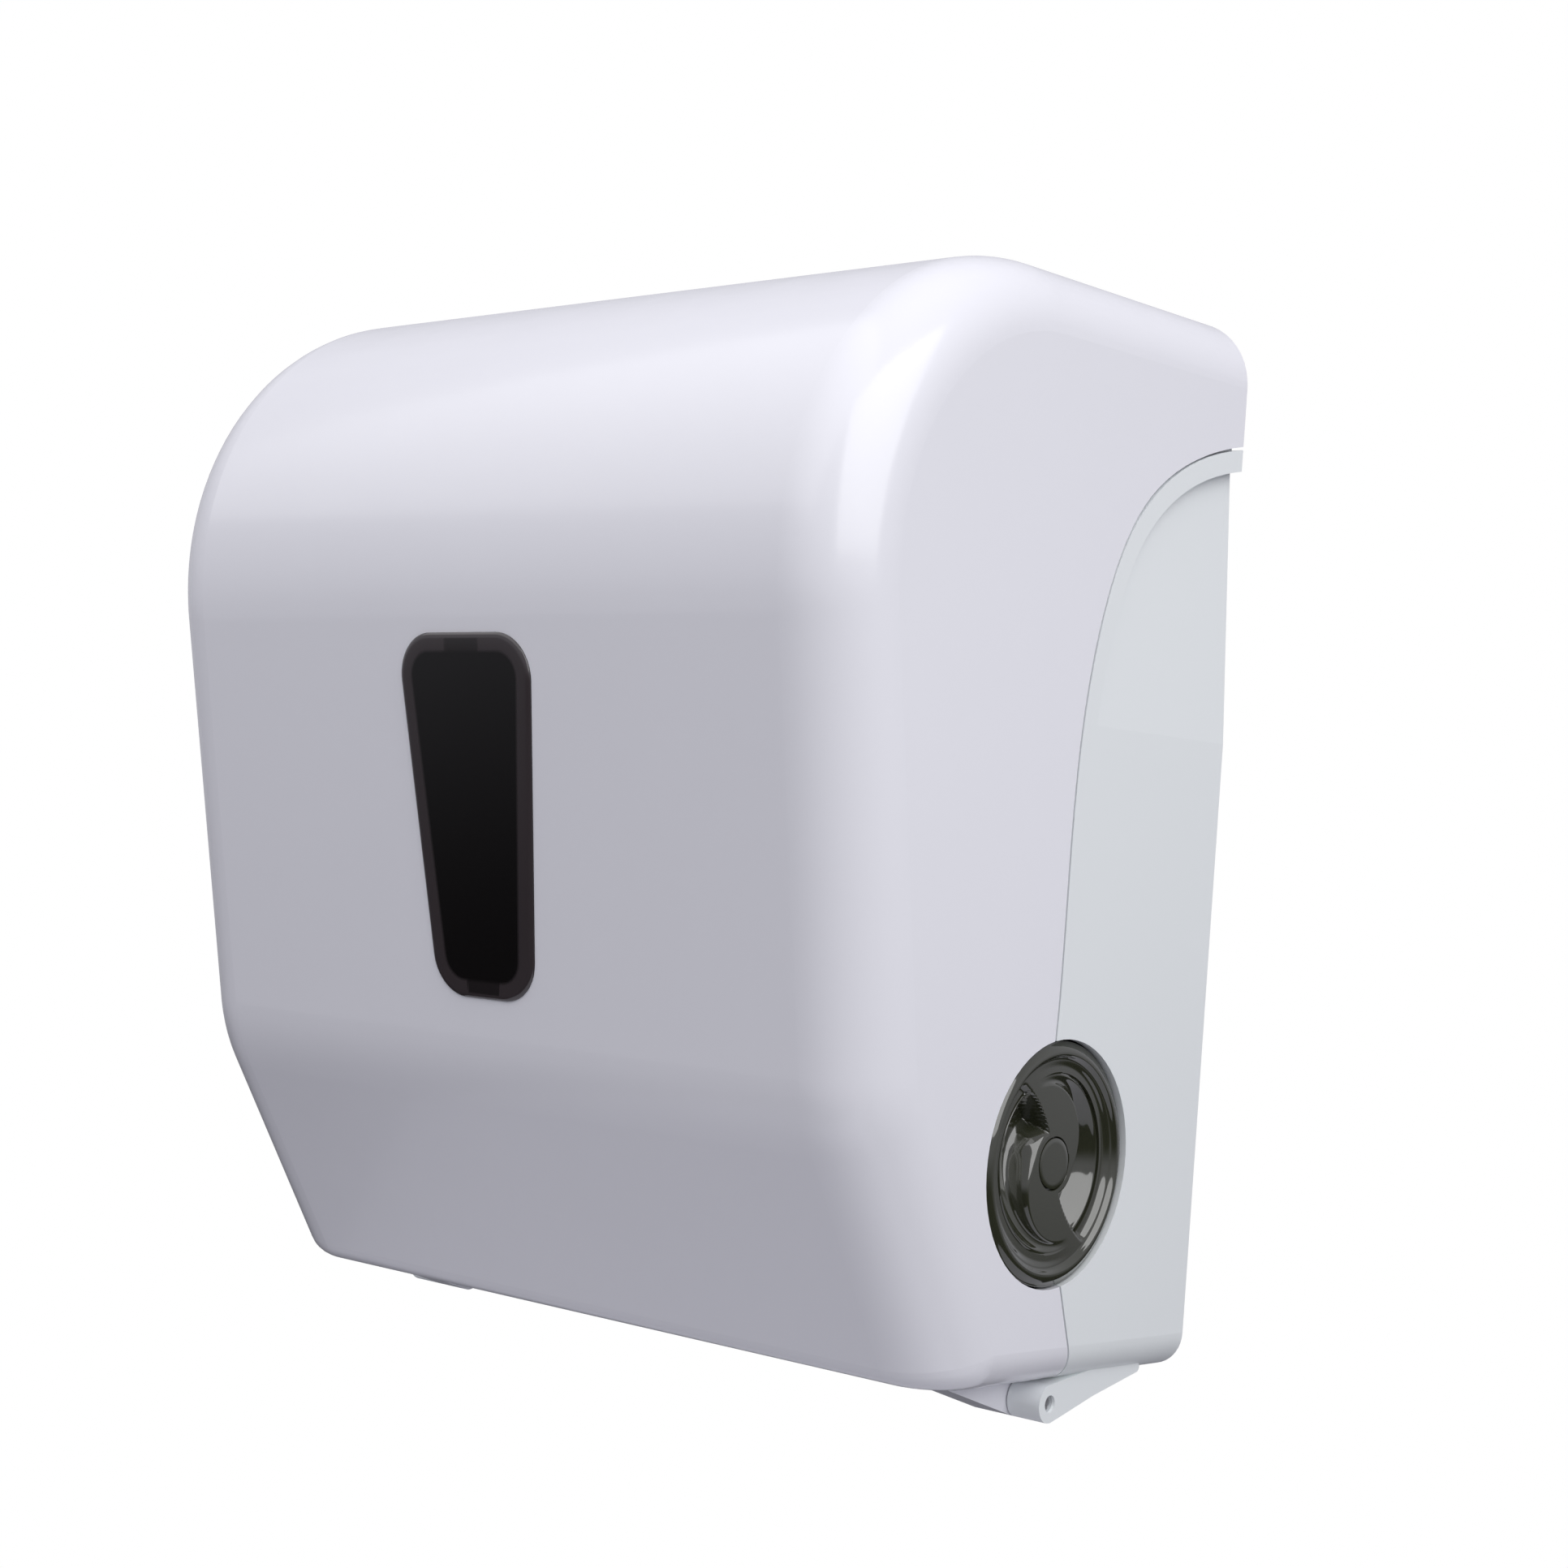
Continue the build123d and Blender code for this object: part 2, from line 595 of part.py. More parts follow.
def make_cam(side):
    r0 = hypot(*FOLLOWER) + FOLLOWER_R + CAM_GAP
    cam = ring_sector(r0, r0 + CAM_RIM, 250, 350, side * FRAME_IN_X, side * (FRAME_IN_X - 3))
    lead = ring_sector(r0 + 1.2, r0 + CAM_RIM, 236, 252, side * FRAME_IN_X, side * (FRAME_IN_X - 3))
    return only(cam + lead)


# Drum

def in_drum(out, across):
    """A place given out along the slot and across it, as (y, z)."""
    turn = radians(SLOT_ANGLE)
    return (DRUM_Y - out * cos(turn) + across * sin(turn),
            DRUM_Z + out * sin(turn) + across * cos(turn))


def make_shell(from_angle, to_angle):
    skin = DRUM_R - BAND_PROUD
    shell = ring_sector(skin - DRUM_SKIN, skin, from_angle, to_angle, -DRUM_HALF, DRUM_HALF)
    for x in BAND_X:
        groove = ring_sector(skin - 0.5, skin + 2, from_angle - 5, to_angle + 5,
                             x - BAND_WIDTH / 2, x + BAND_WIDTH / 2)
        shell -= groove
    return only(shell)


def slot_angles():
    return (SLOT_ANGLE + SLOT_BACK, SLOT_ANGLE + SLOT_AHEAD)


def make_bands():
    back, ahead = slot_angles()
    skin = DRUM_R - BAND_PROUD
    bands = []
    for x in BAND_X:
        band = ring_sector(skin - 0.5, DRUM_R, ahead + BAND_BACK, back + 2 * HALF_TURN - BAND_BACK,
                           x - BAND_WIDTH / 2, x + BAND_WIDTH / 2)
        bands.append(only(band))
    return bands


def make_drum_end(side):
    skin = DRUM_R - BAND_PROUD
    disc = rod_x(side * DRUM_HALF, side * (DRUM_HALF + END_T), DRUM_Y, DRUM_Z, skin)
    bore = skin - DRUM_SKIN
    spigot = rod_x(side * (DRUM_HALF - 6), side * DRUM_HALF, DRUM_Y, DRUM_Z, bore)
    spigot -= rod_x(side * (DRUM_HALF - 8), side * DRUM_HALF, DRUM_Y, DRUM_Z, bore - 2)
    back, ahead = slot_angles()
    spigot -= ring_sector(20, 45, back - 2, ahead + 2, side * (DRUM_HALF - 8), side * DRUM_HALF)
    end_x = KNOB_FACE_X - KNOB_DISH - KNOB_SEAT if side > 0 else FRAME_IN_X + FRAME_T + 2 + CRANK_T
    axle = rod_x(side * (DRUM_HALF - 6), side * end_x, DRUM_Y, DRUM_Z, AXLE_R)
    end = disc + spigot + axle
    y, z = in_drum(*KNIFE_PIVOT)
    end -= rod_x(side * (DRUM_HALF - 8), side * (DRUM_HALF + 8), y, z, KNIFE_PIN_R + RUN_FIT)
    end -= rod_x(side * (DRUM_HALF - 8), side * DRUM_HALF, y, z, KNIFE_PIN_R + 3)
    return only(end)


def on_blade(back, off):
    """A place (y, z) measured from the knife tip, back along the blade and off its face."""
    turn = radians(KNIFE_SWING)
    return in_drum(KNIFE_TIP[0] - back * cos(turn) - off * sin(turn),
                   KNIFE_TIP[1] - back * sin(turn) + off * cos(turn))


def make_knife_carrier():
    pivot, heel, nose = in_drum(*KNIFE_PIVOT), on_blade(BLADE_WIDTH + 1.5, -1.5), on_blade(5, -1)
    bar = link(*pivot, 4.2, *heel, 3.0) + link(*heel, 3.0, *nose, 1.4)
    carrier = slab_x(bar, -KNIFE_HALF, KNIFE_HALF)
    room = outline([on_blade(BLADE_WIDTH, 0), on_blade(-2, 0), on_blade(-2, 6),
                    on_blade(BLADE_WIDTH, 6)])
    carrier -= slab_x(room, -WIDTH, WIDTH)
    arm_x = DRUM_HALF + END_T + 0.5
    carrier += rod_x(-arm_x - 2.5, arm_x + 2.5, *pivot, KNIFE_PIN_R)
    return only(carrier)


def make_blade():
    strip = outline([on_blade(BLADE_WIDTH, 0), on_blade(0, 0), on_blade(0, BLADE_T),
                     on_blade(BLADE_WIDTH, BLADE_T)])
    half = KNIFE_HALF - 1
    blade = slab_x(strip, -half, half)
    tip, root = Vector(0, *on_blade(0, 0)), Vector(0, *on_blade(BLADE_WIDTH, 0))
    plane = Plane(origin=tip, x_dir=(1, 0, 0), z_dir=Vector(1, 0, 0).cross(tip - root))
    count = int(2 * half / TOOTH_PITCH)
    points = [(-half - 5, 3)]
    for n in range(count + 1):
        x = (n - count / 2) * TOOTH_PITCH
        points += [(x - TOOTH_PITCH / 2, 0), (x, -TOOTH_DEPTH)]
    points += [((count / 2 + 0.5) * TOOTH_PITCH, 0), (half + 5, 3)]
    notches = extrude(plane * outline(points), 5, both=True)
    return only(blade - notches)


def make_blade_screws():
    """Low heads on the outer face of the blade."""
    y, z = on_blade(BLADE_WIDTH * 0.7, BLADE_T)
    up_y, up_z = on_blade(BLADE_WIDTH * 0.7, BLADE_T + 1)
    heads = []
    for x in BLADE_SCREW_X:
        plane = Plane(origin=(x, y, z), x_dir=(1, 0, 0), z_dir=(0, up_y - y, up_z - z))
        heads.append(only(plane * Pos(0, 0, 0.4) * Cylinder(2.2, 0.8)))
    return heads


def make_follower(side):
    pivot, spot = in_drum(*KNIFE_PIVOT), in_drum(*FOLLOWER)
    x0 = DRUM_HALF + END_T + 0.5
    arm = slab_x(link(pivot[0], pivot[1], 5.0, spot[0], spot[1], 3.2), side * x0, side * (x0 + 2.5))
    arm -= rod_x(0, side * WIDTH, pivot[0], pivot[1], KNIFE_PIN_R)
    arm += rod_x(side * (x0 + 2.0), side * (x0 + 2.7), spot[0], spot[1], 2.2)
    arm += rod_x(side * (x0 + 2.0), side * (x0 + 5.5), spot[0], spot[1], 1.5)
    return only(arm)


def make_follower_roller(side):
    spot = in_drum(*FOLLOWER)
    x0 = DRUM_HALF + END_T + 0.5
    roller = rod_x(side * (x0 + 2.8), side * (x0 + 5.5), spot[0], spot[1], FOLLOWER_R)
    roller -= rod_x(0, side * WIDTH, spot[0], spot[1], 1.5)
    return only(roller)


# Knob

def make_knob():
    face_x, back_x = KNOB_FACE_X, KNOB_FACE_X - KNOB_DEPTH
    section = [(back_x, 0), (face_x - KNOB_DISH - 1, 0), (face_x - KNOB_DISH - 1, 10),
               (face_x - KNOB_DISH, 12), (face_x - KNOB_DISH + 0.6, 22), (face_x - 1.4, 30),
               (face_x, 31), (face_x, KNOB_R - KNOB_LIP), (face_x - KNOB_LIP, KNOB_R), (back_x, KNOB_R)]
    face = outline([(x, r) for x, r in section])
    # drawn with X along the axis and revolved about it
    knob = revolve(face, Axis.X)
    knob = Pos(0, DRUM_Y, DRUM_Z) * knob
    hollow = rod_x(back_x - 1, face_x - KNOB_DISH - KNOB_HOLLOW, DRUM_Y, DRUM_Z, KNOB_R - 3)
    hollow -= rod_x(back_x - 1, face_x, DRUM_Y, DRUM_Z, AXLE_R + 4)
    knob -= hollow
    # raised bar across the dish, twisted like an S by the two finger hollows beside it
    upper = [ThreePointArc((-30, -4), (-14, 2.5), (0, 5.5)),
             ThreePointArc((0, 5.5), (14, 7), (30, 4)), Line((30, 4), (30, 3.9))]
    lower = [ThreePointArc((30, 3.9), (14, -2.5), (0, -5.5)),
             ThreePointArc((0, -5.5), (-14, -7), (-30, -4.1)), Line((-30, -4.1), (-30, -4))]
    bar = Pos(DRUM_Y, DRUM_Z) * Rot(0, 0, KNOB_BAR_TURN) * make_face(upper + lower)
    grip = slab_x(bar, face_x - KNOB_DISH - 1, face_x - 0.4)
    knob += grip
    knob -= rod_x(back_x - 1, KNOB_FACE_X - KNOB_DISH - KNOB_SEAT, DRUM_Y, DRUM_Z, AXLE_R)
    knob -= rod_x(face_x - 1.6, face_x + 2, DRUM_Y, DRUM_Z, KNOB_CAP_R)
    knob -= rod_x(back_x, face_x, DRUM_Y, DRUM_Z, KNOB_SCREW_R + 0.1)
    return only(knob)


def make_knob_screw():
    """Screw in the end of the axle, under the cap of the knob."""
    x0 = KNOB_FACE_X - KNOB_DISH - KNOB_SEAT
    screw = rod_x(x0, x0 + 1.2, DRUM_Y, DRUM_Z, KNOB_SCREW_R)
    return only(screw)


def make_knob_cap():
    cap = rod_x(KNOB_FACE_X - 1.6, KNOB_FACE_X + 0.2, DRUM_Y, DRUM_Z, KNOB_CAP_R - 0.1)
    cap = fillet(cap.edges().group_by(Axis.X)[-1], 0.6)
    return only(cap)


# Pinch roller

def make_pinch_carrier():
    pivot, axis = pinch_pivot(), pinch_centre()
    shaft = rod_x(-FRAME_IN_X - FRAME_T, FRAME_IN_X + FRAME_T, pivot[0], pivot[1], PINCH_PIN_R)
    carrier = shaft
    for side in (1, -1):
        arm = slab_x(link(pivot[0], pivot[1], 6, axis[0], axis[1], 5.5),
                     side * PINCH_ARM_X, side * (PINCH_ARM_X + PINCH_ARM_T))
        arm -= rod_x(0, side * WIDTH, axis[0], axis[1], PINCH_PIN_R + RUN_FIT)
        carrier += arm
    back_y = (pivot[0] + axis[0]) / 2 + 4
    back_z = (pivot[1] + axis[1]) / 2 + 4
    bridge = Rot(PINCH_ANGLE - 90, 0, 0) * Box(2 * PINCH_ARM_X, 2, 12)
    carrier += Pos(0, back_y, back_z) * bridge
    return only(carrier)


def make_pinch_roller():
    axis = pinch_centre()
    roller = rod_x(-PINCH_ARM_X + 0.5, PINCH_ARM_X - 0.5, axis[0], axis[1], PINCH_CORE_R)
    roller += rod_x(-PINCH_ARM_X - PINCH_ARM_T - 1, PINCH_ARM_X + PINCH_ARM_T + 1, axis[0], axis[1],
                    PINCH_PIN_R)
    return only(roller)


def make_pinch_sleeves():
    axis = pinch_centre()
    sleeves = []
    for x in BAND_X:
        sleeve = rod_x(x - BAND_WIDTH, x + BAND_WIDTH, axis[0], axis[1], PINCH_R)
        sleeve -= rod_x(x - 20, x + 20, axis[0], axis[1], PINCH_CORE_R)
        sleeves.append(only(sleeve))
    return sleeves


# Crank and spring on the left side

def crank_pin():
    angle = atan2(ANCHOR_Z - DRUM_Z, ANCHOR_Y - DRUM_Y)
    return (DRUM_Y + CRANK_THROW * cos(angle), DRUM_Z + CRANK_THROW * sin(angle))


def make_crank():
    x0 = FRAME_IN_X + FRAME_T + 2
    disc = rod_x(-x0, -x0 - CRANK_T, DRUM_Y, DRUM_Z, CRANK_R)
    disc -= rod_x(-x0 + 1, -x0 - CRANK_T - 1, DRUM_Y, DRUM_Z, AXLE_R)
    y, z = crank_pin()
    disc += rod_x(-x0 - 1, -CRANK_END_X, y, z, CRANK_PIN_R)
    return only(disc)


def make_drive_spring():
    pin = crank_pin()
    dy, dz = ANCHOR_Y - pin[0], ANCHOR_Z - pin[1]
    span = hypot(dy, dz)
    angle = degrees(atan2(dz, dy))
    x = -(CRANK_END_X - 2.0)
    ring = CRANK_PIN_R + SPRING_WIRE
    coil = span - 2 * ring - 1.5
    tube = Cylinder(SPRING_R, coil) - Cylinder(SPRING_R - SPRING_WIRE, coil)
    spring = Rot(0, 90, 0) * tube
    for side in (1, -1):
        eye = Cylinder(ring, SPRING_WIRE) - Cylinder(CRANK_PIN_R, SPRING_WIRE)
        eye = Pos(side * span / 2, 0, 0) * eye
        reach = Pos(side * (coil / 2 + 0.6), 0, 0) * Box(2.6, 2 * SPRING_R - 0.4, SPRING_WIRE)
        reach -= Pos(side * span / 2, 0, 0) * Cylinder(CRANK_PIN_R + 0.2, 5)
        spring += eye
        spring += reach
    # local X runs along the spring and local Z across the case
    plane = Plane(origin=(x, (pin[0] + ANCHOR_Y) / 2, (pin[1] + ANCHOR_Z) / 2),
                  x_dir=(0, cos(radians(angle)), sin(radians(angle))), z_dir=(1, 0, 0))
    return only(plane * spring)


# Roll holder

def arm_outline():
    root = [(-WALL - 3, ROLL_Z - ARM_BASE_HALF), (-WALL - 3, ROLL_Z + ARM_BASE_HALF)]
    tip = Pos(ROLL_Y, ROLL_Z) * Circle(ARM_TIP_R)
    web = outline([root[0], root[1], (ROLL_Y, ROLL_Z + ARM_TIP_R), (ROLL_Y, ROLL_Z - ARM_TIP_R)])
    return web + tip


def arm_x():
    return ROLL_HALF + HUB_FLANGE_T + 1.0


def arm_screw_places():
    right, left = arm_x() + 12, -arm_x() - ARM_T / 2 - 10.5
    return [(x, ROLL_Z + up) for x in (right, left) for up in (-ARM_SCREW_UP, ARM_SCREW_UP)]


def make_right_arm():
    x0 = arm_x()
    arm = slab_x(arm_outline(), x0, x0 + ARM_T)
    arm += block(x0 - 4, x0 + 18, -WALL - ARM_T, -WALL, ROLL_Z - ARM_BASE_HALF,
                 ROLL_Z + ARM_BASE_HALF)
    rim = slab_x(arm_outline(), x0 + ARM_T - 0.5, x0 + ARM_T + 3)
    rim -= slab_x(offset(arm_outline(), -2), x0, x0 + 10)
    arm += rim
    arm += rod_x(x0 + 0.5, x0 - HUB_FLANGE_T - PLUG_LENGTH, ROLL_Y, ROLL_Z, HUB_PIN_R)
    for x, z in arm_screw_places():
        arm -= rod_y(-10, 0, x, z, FRAME_SCREW_R)
    return only(arm)


def make_left_arm():
    x0 = arm_x()
    arm = slab_x(arm_outline(), -x0, -x0 - ARM_T)
    rim = slab_x(arm_outline(), -x0 - ARM_T + 0.5, -x0 - ARM_T - 3)
    rim -= slab_x(offset(arm_outline(), -2), -x0, -x0 - 10)
    arm += rim
    arm -= block(-200, 0, ARM_PIVOT_Y + 1, 0, 0, TOP_Z)
    px = -x0 - ARM_T / 2
    barrel = rod_z(ROLL_Z - 12, ROLL_Z + 6, px, ARM_PIVOT_Y, 4.5)
    arm -= block(px - 20, px + 20, ARM_PIVOT_Y - 6, 0, ROLL_Z + 6, TOP_Z)
    arm -= block(px - 20, px + 20, ARM_PIVOT_Y - 6, 0, 0, ROLL_Z - 12)
    arm += barrel
    arm -= rod_z(0, TOP_Z, px, ARM_PIVOT_Y, ARM_PIVOT_R + RUN_FIT)
    arm += rod_x(-x0 - 0.5, -x0 + HUB_FLANGE_T + PLUG_LENGTH, ROLL_Y, ROLL_Z, HUB_PIN_R)
    return only(arm)


def make_arm_bracket():
    px = -arm_x() - ARM_T / 2
    base = block(px - 15, px + 9, -WALL - BRACKET_T, -WALL, ROLL_Z - ARM_BASE_HALF,
                 ROLL_Z + ARM_BASE_HALF)
    for z0, z1 in ((ROLL_Z + 12.3, ROLL_Z + 15.3), (ROLL_Z - 15.3, ROLL_Z - 12.3)):
        ear = block(px - 5, px + 5, ARM_PIVOT_Y, -WALL, z0, z1)
        ear += rod_z(z0, z1, px, ARM_PIVOT_Y, 5)
        base += ear
    base -= rod_z(0, TOP_Z, px, ARM_PIVOT_Y, ARM_PIVOT_R)
    for x, z in arm_screw_places():
        base -= rod_y(-10, 0, x, z, FRAME_SCREW_R)
    return only(base)


def make_arm_spring():
    """Coils round the pin above the arm that press it in towards the roll."""
    px = -arm_x() - ARM_T / 2
    low, high = ROLL_Z + 6.2, ROLL_Z + 12.2
    coil = rod_z(low, high, px, ARM_PIVOT_Y, ARM_PIVOT_R + 1.3)
    return only(coil - rod_z(low, high, px, ARM_PIVOT_Y, ARM_PIVOT_R + 0.3))


def make_arm_pin():
    px = -arm_x() - ARM_T / 2
    pin = rod_z(ROLL_Z - 16.5, ROLL_Z + 15.3, px, ARM_PIVOT_Y, ARM_PIVOT_R)
    pin += rod_z(ROLL_Z + 15.3, ROLL_Z + 16.8, px, ARM_PIVOT_Y, ARM_PIVOT_R + 1.5)
    return only(pin)


def make_hub(side):
    x0 = arm_x() - 0.5
    hub = rod_x(side * x0, side * (x0 - HUB_FLANGE_T), ROLL_Y, ROLL_Z, HUB_FLANGE_R)
    plug = rod_x(side * (x0 - HUB_FLANGE_T + 0.1), side * (x0 - HUB_FLANGE_T - PLUG_LENGTH),
                 ROLL_Y, ROLL_Z, PLUG_R)
    tip = plug.edges().group_by(Axis.X)[0 if side > 0 else -1]
    plug = chamfer(tip, 3)
    hub += plug
    hub -= rod_x(side * (x0 + 1), side * (x0 - HUB_FLANGE_T - PLUG_LENGTH - 1), ROLL_Y, ROLL_Z,
                 HUB_PIN_R + RUN_FIT)
    return only(hub)


def write_part(name, shapes):
    solids = shapes if isinstance(shapes, list) else [shapes]
    moved = [Pos(0, 0, -SCREW_CENTRE_Z) * s for s in solids]
    shape = moved[0] if len(moved) == 1 else Compound(children=moved)
    export_step(shape, f"parts/{name}.step")


def main():
    os.makedirs("parts", exist_ok=True)
    back, ahead = slot_angles()
    made = {
        "rear_housing": make_housing(),
        "front_cover": make_cover(),
        "window": make_window(),
        "lock_barrel": make_lock_barrel(),
        "lock_tongue": make_lock_tongue(),
        "hinge_pin_left": make_hinge_pin(-1),
        "hinge_pin_right": make_hinge_pin(1),
        "frame_left": make_frame(-1),
        "frame_right": make_frame(1),
        "bush_left": make_bush(-1),
        "bush_right": make_bush(1),
        "tie_upper": make_tie(TIE_UPPER),
        "tie_lower": make_tie(TIE_LOWER),
        "rear_guide": make_rear_guide(),
        "exit_chute": make_chute(),
        "cam_left": make_cam(-1),
        "cam_right": make_cam(1),
        "drum_shell_front": make_shell(back + HALF_TURN + SHELL_SPLIT, back + 2 * HALF_TURN),
        "drum_shell_rear": make_shell(ahead, back + HALF_TURN),
        "grip_bands": make_bands(),
        "drum_end_left": make_drum_end(-1),
        "drum_end_right": make_drum_end(1),
        "knife_carrier": make_knife_carrier(),
        "knife_blade": make_blade(),
        "follower_arm_left": make_follower(-1),
        "follower_arm_right": make_follower(1),
        "follower_roller_left": make_follower_roller(-1),
        "follower_roller_right": make_follower_roller(1),
        "knob": make_knob(),
        "knob_screw": make_knob_screw(),
        "knob_cap": make_knob_cap(),
        "pinch_carrier": make_pinch_carrier(),
        "pinch_roller": make_pinch_roller(),
        "pinch_sleeves": make_pinch_sleeves(),
        "crank": make_crank(),
        "drive_spring": make_drive_spring(),
        "frame_screws": screws(frame_screw_places(), -WALL - FRAME_T),
        "roll_arm_right": make_right_arm(),
        "roll_arm_left": make_left_arm(),
        "arm_bracket": make_arm_bracket(),
        "arm_pin": make_arm_pin(),
        "arm_spring": make_arm_spring(),
        "arm_screws": (screws(arm_screw_places()[:2], -WALL - ARM_T)
                       + screws(arm_screw_places()[2:], -WALL - BRACKET_T)),
        "blade_screws": make_blade_screws(),
        "hub_right": make_hub(1),
        "hub_left": make_hub(-1),
    }
    for name, shapes in made.items():
        write_part(name, shapes)


main()
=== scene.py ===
import json
import math

import bmesh
import bpy
from mathutils import Matrix, Vector


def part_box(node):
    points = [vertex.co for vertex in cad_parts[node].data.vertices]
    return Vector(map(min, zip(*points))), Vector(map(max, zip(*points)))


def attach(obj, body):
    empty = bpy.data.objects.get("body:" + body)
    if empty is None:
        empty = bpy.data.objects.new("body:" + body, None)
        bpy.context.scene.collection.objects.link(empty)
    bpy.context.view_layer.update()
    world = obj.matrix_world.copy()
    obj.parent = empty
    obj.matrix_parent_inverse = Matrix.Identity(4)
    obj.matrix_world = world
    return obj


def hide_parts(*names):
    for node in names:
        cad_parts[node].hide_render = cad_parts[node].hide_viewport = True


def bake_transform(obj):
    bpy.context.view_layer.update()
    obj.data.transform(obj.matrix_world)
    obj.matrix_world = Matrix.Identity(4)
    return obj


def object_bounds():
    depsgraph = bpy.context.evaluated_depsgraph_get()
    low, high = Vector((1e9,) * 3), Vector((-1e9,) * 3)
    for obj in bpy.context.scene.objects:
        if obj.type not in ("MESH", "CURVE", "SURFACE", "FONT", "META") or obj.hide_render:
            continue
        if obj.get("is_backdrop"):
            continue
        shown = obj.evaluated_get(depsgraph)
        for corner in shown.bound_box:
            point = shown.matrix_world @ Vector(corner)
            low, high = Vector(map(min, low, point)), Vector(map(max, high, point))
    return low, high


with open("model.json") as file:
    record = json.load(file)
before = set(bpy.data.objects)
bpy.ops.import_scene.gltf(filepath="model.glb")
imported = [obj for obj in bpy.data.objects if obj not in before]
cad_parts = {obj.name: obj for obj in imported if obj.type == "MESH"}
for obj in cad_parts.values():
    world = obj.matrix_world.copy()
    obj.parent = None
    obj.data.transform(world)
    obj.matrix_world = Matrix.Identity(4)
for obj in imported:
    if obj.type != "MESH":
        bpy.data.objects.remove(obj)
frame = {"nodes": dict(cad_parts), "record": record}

bl_info = {
    "name": "Towel dispenser looks",
    "version": (1, 0, 0),
    "blender": (4, 5, 0),
    "location": "3D View > Sidebar > Dispenser",
    "description": "Dresses the wall-hung towel dispenser: case, window, knob, cutting gear and stage",
    "category": "Object",
}

MM = 0.001
FOOT = -195.0 * MM  # foot of the cover, below the centre of the wall screws
FULL_TURN = 2 * math.pi
MERGE = 0.002 * MM  # points nearer than this become one


def linear(code):
    """An sRGB hex colour as linear red, green and blue."""
    parts = [int(code[n:n + 2], 16) / 255 for n in (1, 3, 5)]
    return tuple(c / 12.92 if c <= 0.04045 else ((c + 0.055) / 1.055) ** 2.4 for c in parts)


def length(name, description, default):
    return bpy.props.FloatProperty(name=name, description=description, default=default,
                                   unit="LENGTH", subtype="DISTANCE", precision=5)


def colour(name, description, code):
    return bpy.props.FloatVectorProperty(name=name, description=description, size=3,
                                         default=linear(code), subtype="COLOR", min=0, max=1)


# Values that a user would change
class CaseLook(bpy.types.PropertyGroup):
    cover: colour("Cover", "White of the moulded front cover", "#efeff5")
    housing: colour("Housing", "White of the housing behind the cover", "#ecf0f1")
    holder: colour("Roll arms", "Light grey of the arms that hold the roll", "#cdcfd4")


class WindowLook(bpy.types.PropertyGroup):
    low_z: length("Lower end", "Height of the window's lower end above the foot", 96 * MM)
    top_z: length("Upper end", "Height of the window's upper end above the foot", 200 * MM)
    half_top: length("Half width above", "Half of the width at the upper end", 27.35 * MM)
    half_low: length("Half width below", "Half of the width at the lower end", 19.85 * MM)
    corner: length("Corner", "Radius of the corners", 12.85 * MM)
    lean: bpy.props.FloatProperty(name="Lean", description="Lean of the front",
                                  default=math.radians(10.4), subtype="ANGLE")
    depth: length("Depth", "Distance of the window's middle from the wall", 178.13 * MM)
    proud: length("Proud", "How far the lens stands out of the cover", 0.9 * MM)
    wall: length("Wall", "Wall of the cover that the lens sits in", 3.0 * MM)
    band: length("Band", "Width of the thick edge band", 5.2 * MM)
    # painted light and shade seen through the lens: the edge band's paler colour stands for the white
    # flange behind it, the middle's dark colour for the inside in shade
    edge: colour("Edge band", "Smoke tint where the plastic is thick", "#3b3537")
    middle: colour("Middle", "Smoke tint over the dark inside", "#0f0d0d")


class KnobLook(bpy.types.PropertyGroup):
    radius: length("Radius", "Outer radius of the knob", 34.6 * MM)
    face_x: length("Face", "Distance of the knob's lip from the middle", 137.0 * MM)
    back_x: length("Back", "Distance of the knob's back from the middle", 124.5 * MM)
    web: length("Web", "How far the flat face lies below the lip", 1.3 * MM)
    scoop: length("Scoop", "Depth of the two finger scoops", 7.6 * MM)
    shell: length("Shell", "Wall of the moulding", 2.0 * MM)
    cap: length("Cap", "Radius of the centre cap", 7.2 * MM)
    centre_y: length("Axis y", "Place of the drum's axis", -75 * MM)
    centre_z: length("Axis z", "Height of the drum's axis above the foot", 61 * MM)
    tint: colour("Tint", "Dark green smoke of the moulding", "#2f3124")


class GearLook(bpy.types.PropertyGroup):
    mechanism: colour("Mechanism", "Grey of the frames and guides", "#6a6c71")
    drum: colour("Drum", "Black of the drum's shells", "#2a2a2c")
    rubber: colour("Rubber", "Grey black of the grip rubber", "#33333a")
    hub: colour("Hubs", "Blue grey of the roll hubs", "#4a525f")
    natural: colour("Natural plastic", "Unpigmented acetal of bushes and cams", "#e6e2d5")
    steel: colour("Steel", "Turned and drawn steel", "#cfd0d2")
    rib_count: bpy.props.IntProperty(name="Ribs", description="Ribs round each grip band",
                                     default=64, min=8, max=200)
    drum_radius: length("Drum radius", "Radius of the drum without its bands", 38 * MM)
    spring_wire: length("Wire", "Thickness of the drive spring's wire", 0.9 * MM)
    spring_turns: bpy.props.IntProperty(name="Turns", description="Turns of the drive spring",
                                        default=44, min=5, max=120)
    spring_radius: length("Coil radius", "Outer radius of the drive spring's coil", 3.4 * MM)
    anchor_y: length("Anchor y", "Place of the drive spring's fixed post", -18 * MM)
    anchor_z: length("Anchor z", "Height of the drive spring's fixed post", 98 * MM)


class StageLook(bpy.types.PropertyGroup):
    floor: colour("Floor", "Pale floor under the dispenser", "#e2e2e6")
    drop: length("Drop", "Distance from the lowest point down to the floor", 1200 * MM)
    half: length("Half width", "Half of the width of the floor", 1500 * MM)


